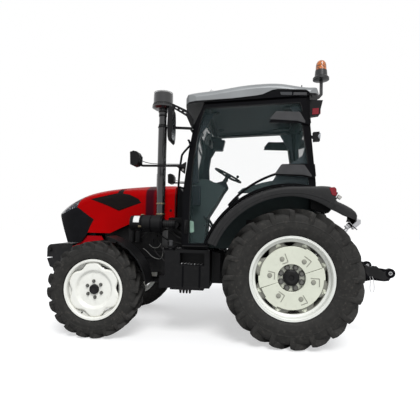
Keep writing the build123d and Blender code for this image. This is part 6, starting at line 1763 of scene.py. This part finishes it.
# ---------------------------------------------------------------- rear end
@dataclass
class RearEnd:
    """Couplers, link ends, power take-off and hitch details."""

    def build(self) -> None:
        """Makes the fixed fittings, then those on the lower links and lift rods."""
        make = Maker("chassis")
        self.couplers(make)
        self.shaft(make)
        self.links(make)

    def couplers(self, make: Maker) -> None:
        """Two rows of quick couplers with caps, hoses behind them, and a round trailer socket."""
        bodies, caps = [], []
        for y in (-0.2, -0.12, 0.12, 0.2):
            for z in (1.02, 1.1):
                bodies.append(lathe([(-0.04, 1e-6), (-0.04, 0.02), (0.0, 0.02), (0.004, 0.026),
                    (0.04, 0.026), (0.046, 0.02), (0.046, 1e-6)], (1.395, y, z), (1, 0, -0.2), 24))
                caps.append(lathe([(0.0, 0.028), (0.018, 0.028), (0.022, 0.022), (0.022, 1e-6)],
                    (1.43, y, z - 0.008), (1, 0, -0.2), 24, closed=False))
        make.piece("coupler_bodies", merged(bodies), STEEL, sharp=30.0)
        make.piece("coupler_caps", merged(caps), LENS_RED_CAP, sharp=30.0)
        make.piece("trailer_socket", lathe([(-0.03, 1e-6), (-0.03, 0.034), (0.012, 0.034), (0.016, 0.038),
            (0.03, 0.038), (0.034, 0.03), (0.034, 1e-6)], (1.262, -0.4, 1.52), (1, 0, 0), 32), PLASTIC,
            sharp=30.0)
        runs = []
        for y, lift in ((-0.2, 0.0), (-0.12, 0.02), (0.12, 0.02), (0.2, 0.0)):
            runs.append(pipe([(1.36, y, 1.1), (1.31, y, 1.16 + lift), (1.25, y * 0.9, 1.26 + lift),
                (1.235, y * 0.8, 1.36)], 24, 0.01, 10))
        make.piece("coupler_hoses", merged(runs), HOSE)

    def shaft(self, make: Maker) -> None:
        """Splined shaft: radius 17.5 mm with six teeth worked as a wave of the angle."""
        turn = np.linspace(0.0, math.tau, 96, endpoint=False)
        radius = 0.0165 + 0.0018 * np.tanh(6 * np.sin(6 * turn))
        along = np.array([0.0, 0.002, 0.045, 0.05, 0.056, 0.08, 0.084])
        scale = np.array([0.9, 1.0, 1.0, 0.82, 1.0, 1.0, 0.9])
        low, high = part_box("pto")
        centre = ((low[1] + high[1]) / 2, (low[2] + high[2]) / 2)
        x = high[0] - 0.082 + along
        points = np.stack([np.broadcast_to(x[:, None], (7, 96)), centre[0]
            + radius * np.cos(turn) * scale[:, None], centre[1] + radius * np.sin(turn) * scale[:,
            None]], axis=-1)
        shape = grid(points, close_v=True)
        make.piece("splined_shaft", Shape(shape.points, shape.faces
            + [list(range(96)), list(range(576, 672))[::-1]]), STEEL, sharp=30.0)

    def links(self, make: Maker) -> None:
        """Turnbuckle of the top link with its lever; claws, balls and wire rings of the lower links."""
        start, end = np.array([1.7, 0.0, 1.272]), np.array([1.902, 0.0, 1.438])
        along = (end - start) / np.linalg.norm(end - start)
        make.piece("link_turnbuckle", lathe([(0.0, 1e-6), (0.0, 0.03), (0.008, 0.034), (0.016, 0.03),
            (0.032, 0.03), (0.04, 0.036), (0.05, 0.036), (0.058, 0.028), (0.15, 0.028), (0.156, 0.033),
            (0.17, 0.033), (0.176, 0.026), (0.176, 1e-6)], start + 0.045 * along, along, 40), LINK_ZINC,
            sharp=30.0)
        make.piece("link_claw", slab([(1.782, 1.403), (1.913, 1.415), (1.914, 1.36), (1.818, 1.276)],
            0.012, -0.032, 0.032), LINK_ZINC, bevel=0.008)
        lever = tube(np.array([start + 0.11 * along + (0.0, -0.03, 0.012),
            start + 0.11 * along + (0.02, -0.085, -0.02), start + 0.11 * along + (0.06, -0.11, -0.06)]),
            0.006, 10)
        make.piece("link_lever", lever + lathe([(-0.012, 0.028), (-0.012, 0.037), (0.012, 0.037),
            (0.012, 0.028)], start + 0.11 * along, along, 32), BLACK_ENAMEL, sharp=30.0)
        lower = Maker("lower_links")
        end = [(1.844, 0.877), (1.876, 0.867), (1.909, 0.857), (1.952, 0.85), (1.974, 0.87),
            (2.017, 0.83), (2.06, 0.8), (2.092, 0.828), (2.13, 0.815), (2.138, 0.735), (2.061, 0.7),
            (1.877, 0.745), (1.844, 0.798)]
        lower.pair("link_end", slab(end, 0.012, -0.432, -0.388), CAST_BLACK, bevel=0.008)
        lower.pair("link_ball", lathe([(-0.03, 0.015), (-0.03, 0.022)]
            + ([(0.026 * math.sin(a), 0.026 * math.cos(a) + 0.006) for a in np.linspace(-1.1, 1.1, 15)])
            + [(0.03, 0.022), (0.03, 0.015)], (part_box("lower_links")[1][0] - 0.056, -0.41, 0.787),
            (0, 1, 0), 32), STEEL, sharp=40.0)
        lower.pair("latch_wire", pipe([(1.9, -0.43, 0.742), (1.905, -0.434, 0.7), (1.902, -0.436, 0.6),
            (1.915, -0.436, 0.566), (1.935, -0.436, 0.566), (1.948, -0.436, 0.6), (1.942, -0.434, 0.7),
            (1.925, -0.43, 0.745)], 48, 0.0035, 8), STEEL)


@dataclass
class Fender:
    """Rear fenders: bent sheet with a raised lip, a lamp box at its rear and a drooping tail.

    The tables hold radii about the rear axle against the angle from the rear, in degrees.
    """

    axle: Pair = (0.95, 0.755)
    crest: float = 0.99
    top: tuple[Pair, ...] = ((44.0, 0.905), (44.7, 0.927), (46.1, 0.955), (48.2, 0.97), (51.5, 0.972),
        (56.3, 0.962), (61.0, 0.952), (62.6, 0.962), (63.7, 1.003), (65.1, 1.047), (67.2, 1.059),
        (68.9, 1.062), (72.8, 1.043), (76.9, 1.018), (86.0, 0.995), (100.0, 0.99), (158.5, 0.99))
    low: tuple[Pair, ...] = ((44.0, 0.903), (45.1, 0.899), (46.7, 0.884), (53.5, 0.852), (62.2, 0.84),
        (75.0, 0.864), (90.0, 0.88), (158.5, 0.88))
    lip: tuple[Pair, ...] = ((44.0, 0.86), (56.0, 0.895), (61.0, 0.905), (67.2, 0.92), (85.6, 0.927),
        (158.5, 0.927))

    def build(self) -> None:
        """Makes both fenders, the liners between them and the doors, and the brackets under their tails."""
        make = Maker("chassis")
        self.sheet(make)
        make.pair("arch_liner", prism(self.ring(np.radians(np.linspace(96.0, 158.0, 60)), 0.972, 1.036),
            -0.706, -0.696), SEAL)
        make.pair("tail_bracket", slab([(1.165, 1.66), (1.165, 1.505), (1.275, 1.478), (1.313, 1.456),
            (1.366, 1.472), (1.397, 1.512), (1.42, 1.56), (1.34, 1.65)], 0.01, -0.72, -0.62), PLASTIC,
            bevel=0.006)
        make.pair("inner_arch_shield", slab([(0.38, 1.25), (0.6, 1.25), (0.6, 1.48), (0.38, 1.48)], 0.02,
            -0.553, -0.543), PLASTIC)

    def ring(self, angle: Array, inner: float, outer: float) -> list[Pair]:
        """Outline between two radii over the angles."""
        c, s = np.cos(angle), np.sin(angle)
        x = np.concatenate([outer * c, inner * c[::-1]]) + self.axle[0]
        z = np.concatenate([outer * s, inner * s[::-1]]) + self.axle[1]
        return list(zip(x.tolist(), z.tolist()))

    def sheet(self, make: Maker) -> None:
        """Sweeps the section, a list of (across, radius) pairs, over the angles of the tables."""
        degrees = np.concatenate([np.linspace(44.0, 70.0, 90), np.linspace(70.6, 158.5, 110)])
        top, low, lip = (np.interp(degrees, *np.array(table).T) for table in (self.top, self.low, self.lip))
        inner = np.minimum(top, self.crest)
        out = 0.952 + 0.005 * np.clip((degrees - 60.0) / 6.0, 0.0, 1.0)
        section = [(0.56, inner - 0.014), (0.56, inner), (0.795, inner), (0.805, top - 0.002), (0.9, top),
            (0.932, top - 0.004), (0.947, top - 0.016), (0.952, np.maximum(top - 0.036, lip + 0.017)),
            (0.952, lip + 0.016), (out, lip + 0.013), (out, lip - 0.013), (0.952, lip - 0.016),
            (0.952, low + 0.006), (0.949, low), (0.942, low), (0.938, low + 0.006), (0.938, top - 0.04),
            (0.925, top - 0.022), (0.9, top - 0.014), (0.81, top - 0.016), (0.8, inner - 0.014)]
        across, radius = (np.stack([np.broadcast_to(pair[k], degrees.shape) for pair in section], axis=1)
            for k in (0, 1))
        angle = np.radians(degrees)[:, None]
        points = np.stack([self.axle[0] + radius * np.cos(angle), -across,
            self.axle[1] + radius * np.sin(angle)], axis=-1)
        shape = grid(points, close_v=True)
        count, last = len(section), len(section) * (len(degrees) - 1)
        shape = Shape(shape.points, shape.faces + [list(range(count))[::-1],
            list(range(last, last + count))])
        for name, side in (("left", shape), ("right", shape.mirrored())):
            make.piece(f"bent_fender_{name}", side, FENDER_PLASTIC, sharp=32.0,
                stands_for=[f"fender_{name}"])


# ---------------------------------------------------------------- stage
@dataclass
class Stage:
    """Camera, light, floor and background."""

    eye: Vector = field(default_factory=lambda: Vector((0.4772, -4.866, 1.3402)))
    yaw: float = -6.1
    pitch: float = 1.91
    roll: float = 1.22
    lens: float = 31.03
    floor_size: float = 60.0

    def build(self) -> None:
        """Makes the whole stage."""
        self.make_camera()
        self.make_light()
        self.make_floor()
        bpy.context.scene.view_settings.view_transform = "Standard"
        LOG.info("stage ready")

    def make_camera(self) -> None:
        """Camera looking along yaw and pitch from the eye, rolled about its line of sight."""
        yaw, pitch, roll = (math.radians(angle) for angle in (self.yaw, self.pitch, self.roll))
        ahead = Vector((math.sin(yaw) * math.cos(pitch), math.cos(yaw) * math.cos(pitch), math.sin(pitch)))
        level = Vector((math.cos(yaw), -math.sin(yaw), 0.0))
        up = level.cross(ahead)
        right = level * math.cos(roll) + up * math.sin(roll)
        top = up * math.cos(roll) - level * math.sin(roll)
        camera = bpy.data.objects.new("camera", bpy.data.cameras.new("camera"))
        camera.data.lens = self.lens
        camera.data.sensor_width = 36.0
        camera.matrix_world = Matrix(((right.x, top.x, -ahead.x, self.eye.x),
            (right.y, top.y, -ahead.y, self.eye.y), (right.z, top.z, -ahead.z, self.eye.z),
            (0.0, 0.0, 0.0, 1.0)))
        bpy.context.scene.collection.objects.link(camera)
        bpy.context.scene.camera = camera

    def make_light(self) -> None:
        """Soft sun from above the near front corner, and a pale sky that looks white."""
        sun = bpy.data.objects.new("sun", bpy.data.lights.new("sun", "SUN"))
        sun.data.energy = 2.2
        sun.data.angle = math.radians(25.0)
        sun.rotation_euler = Vector((0.22, -0.75, 0.9)).to_track_quat("Z", "Y").to_euler()
        bpy.context.scene.collection.objects.link(sun)
        tree = Tree(bpy.data.worlds.new("sky"))
        camera, through, mirrored = (tree.node("ShaderNodeLightPath", {}, {}, f"Is {kind} Ray")
            for kind in ("Camera", "Transmission", "Glossy"))
        sky = tree.node("ShaderNodeBackground", {}, {"Color": (0.93, 0.96, 1.0, 1.0), "Strength": 0.55})
        white = tree.node("ShaderNodeBackground", {}, {"Color": (1.0, 1.0, 1.0, 1.0), "Strength": 1.0})
        seen = camera.larger(through).larger(mirrored)
        mixed = tree.node("ShaderNodeMixShader", {}, {0: seen, 1: sky, 2: white})
        bpy.context.scene.world = tree.ended(mixed, "ShaderNodeOutputWorld")

    def make_floor(self) -> None:
        """Pale floor that the camera sees as white but for the shadow under the tractor."""
        half = self.floor_size / 2
        mesh = bpy.data.meshes.new("floor")
        mesh.from_pydata([(-half, -half, 0), (half, -half, 0), (half, half, 0), (-half, half, 0)], [],
            [(0, 1, 2, 3)])
        floor = bpy.data.objects.new("floor", mesh)
        bpy.context.scene.collection.objects.link(floor)
        tree = Tree(bpy.data.materials.new("floor"))
        base = tree.mix(tree.noise(0.8), (0.6, 0.6, 0.6), (0.63, 0.63, 0.63))
        lift = tree.mix(tree.node("ShaderNodeLightPath", {}, {}, "Is Camera Ray"), (0.0, 0.0, 0.0),
            (0.5, 0.5, 0.5))
        mesh.materials.append(tree.surface(Base_Color=base, Roughness=0.9, Emission_Color=lift,
            Emission_Strength=1.0))


def main() -> None:
    """Builds the stage, dresses the frame, then builds each sub-assembly in order."""
    Stage().build()
    dress_nodes()
    for side_name, side in SIDES.items():
        for end, centre, size, face, rear in WHEELS:
            place = (centre[0], side * centre[1], centre[2])
            body = f"wheel_{end}_{side_name}"
            Tyre(f"tyre_{end}_{side_name}", body, place, *size).build()
            Rim(f"rim_{end}_{side_name}", body, side, place, *size[1:4], face, *RIM_FORMS[end],
                REAR_WHEEL if rear else WHEEL_WARM, rear).build()
            WheelTrim(body, side, place, face, rear).build()
    for assembly in (Hood(), FrontEnd(), FilterSide(), Tanks(), Cab(), Cockpit(), Seat(), Lamps(),
            Mirrors(), Fender(), RearEnd()):
        assembly.build()
        LOG.info("%s done", type(assembly).__name__)


if __name__ == "__main__":
    main()
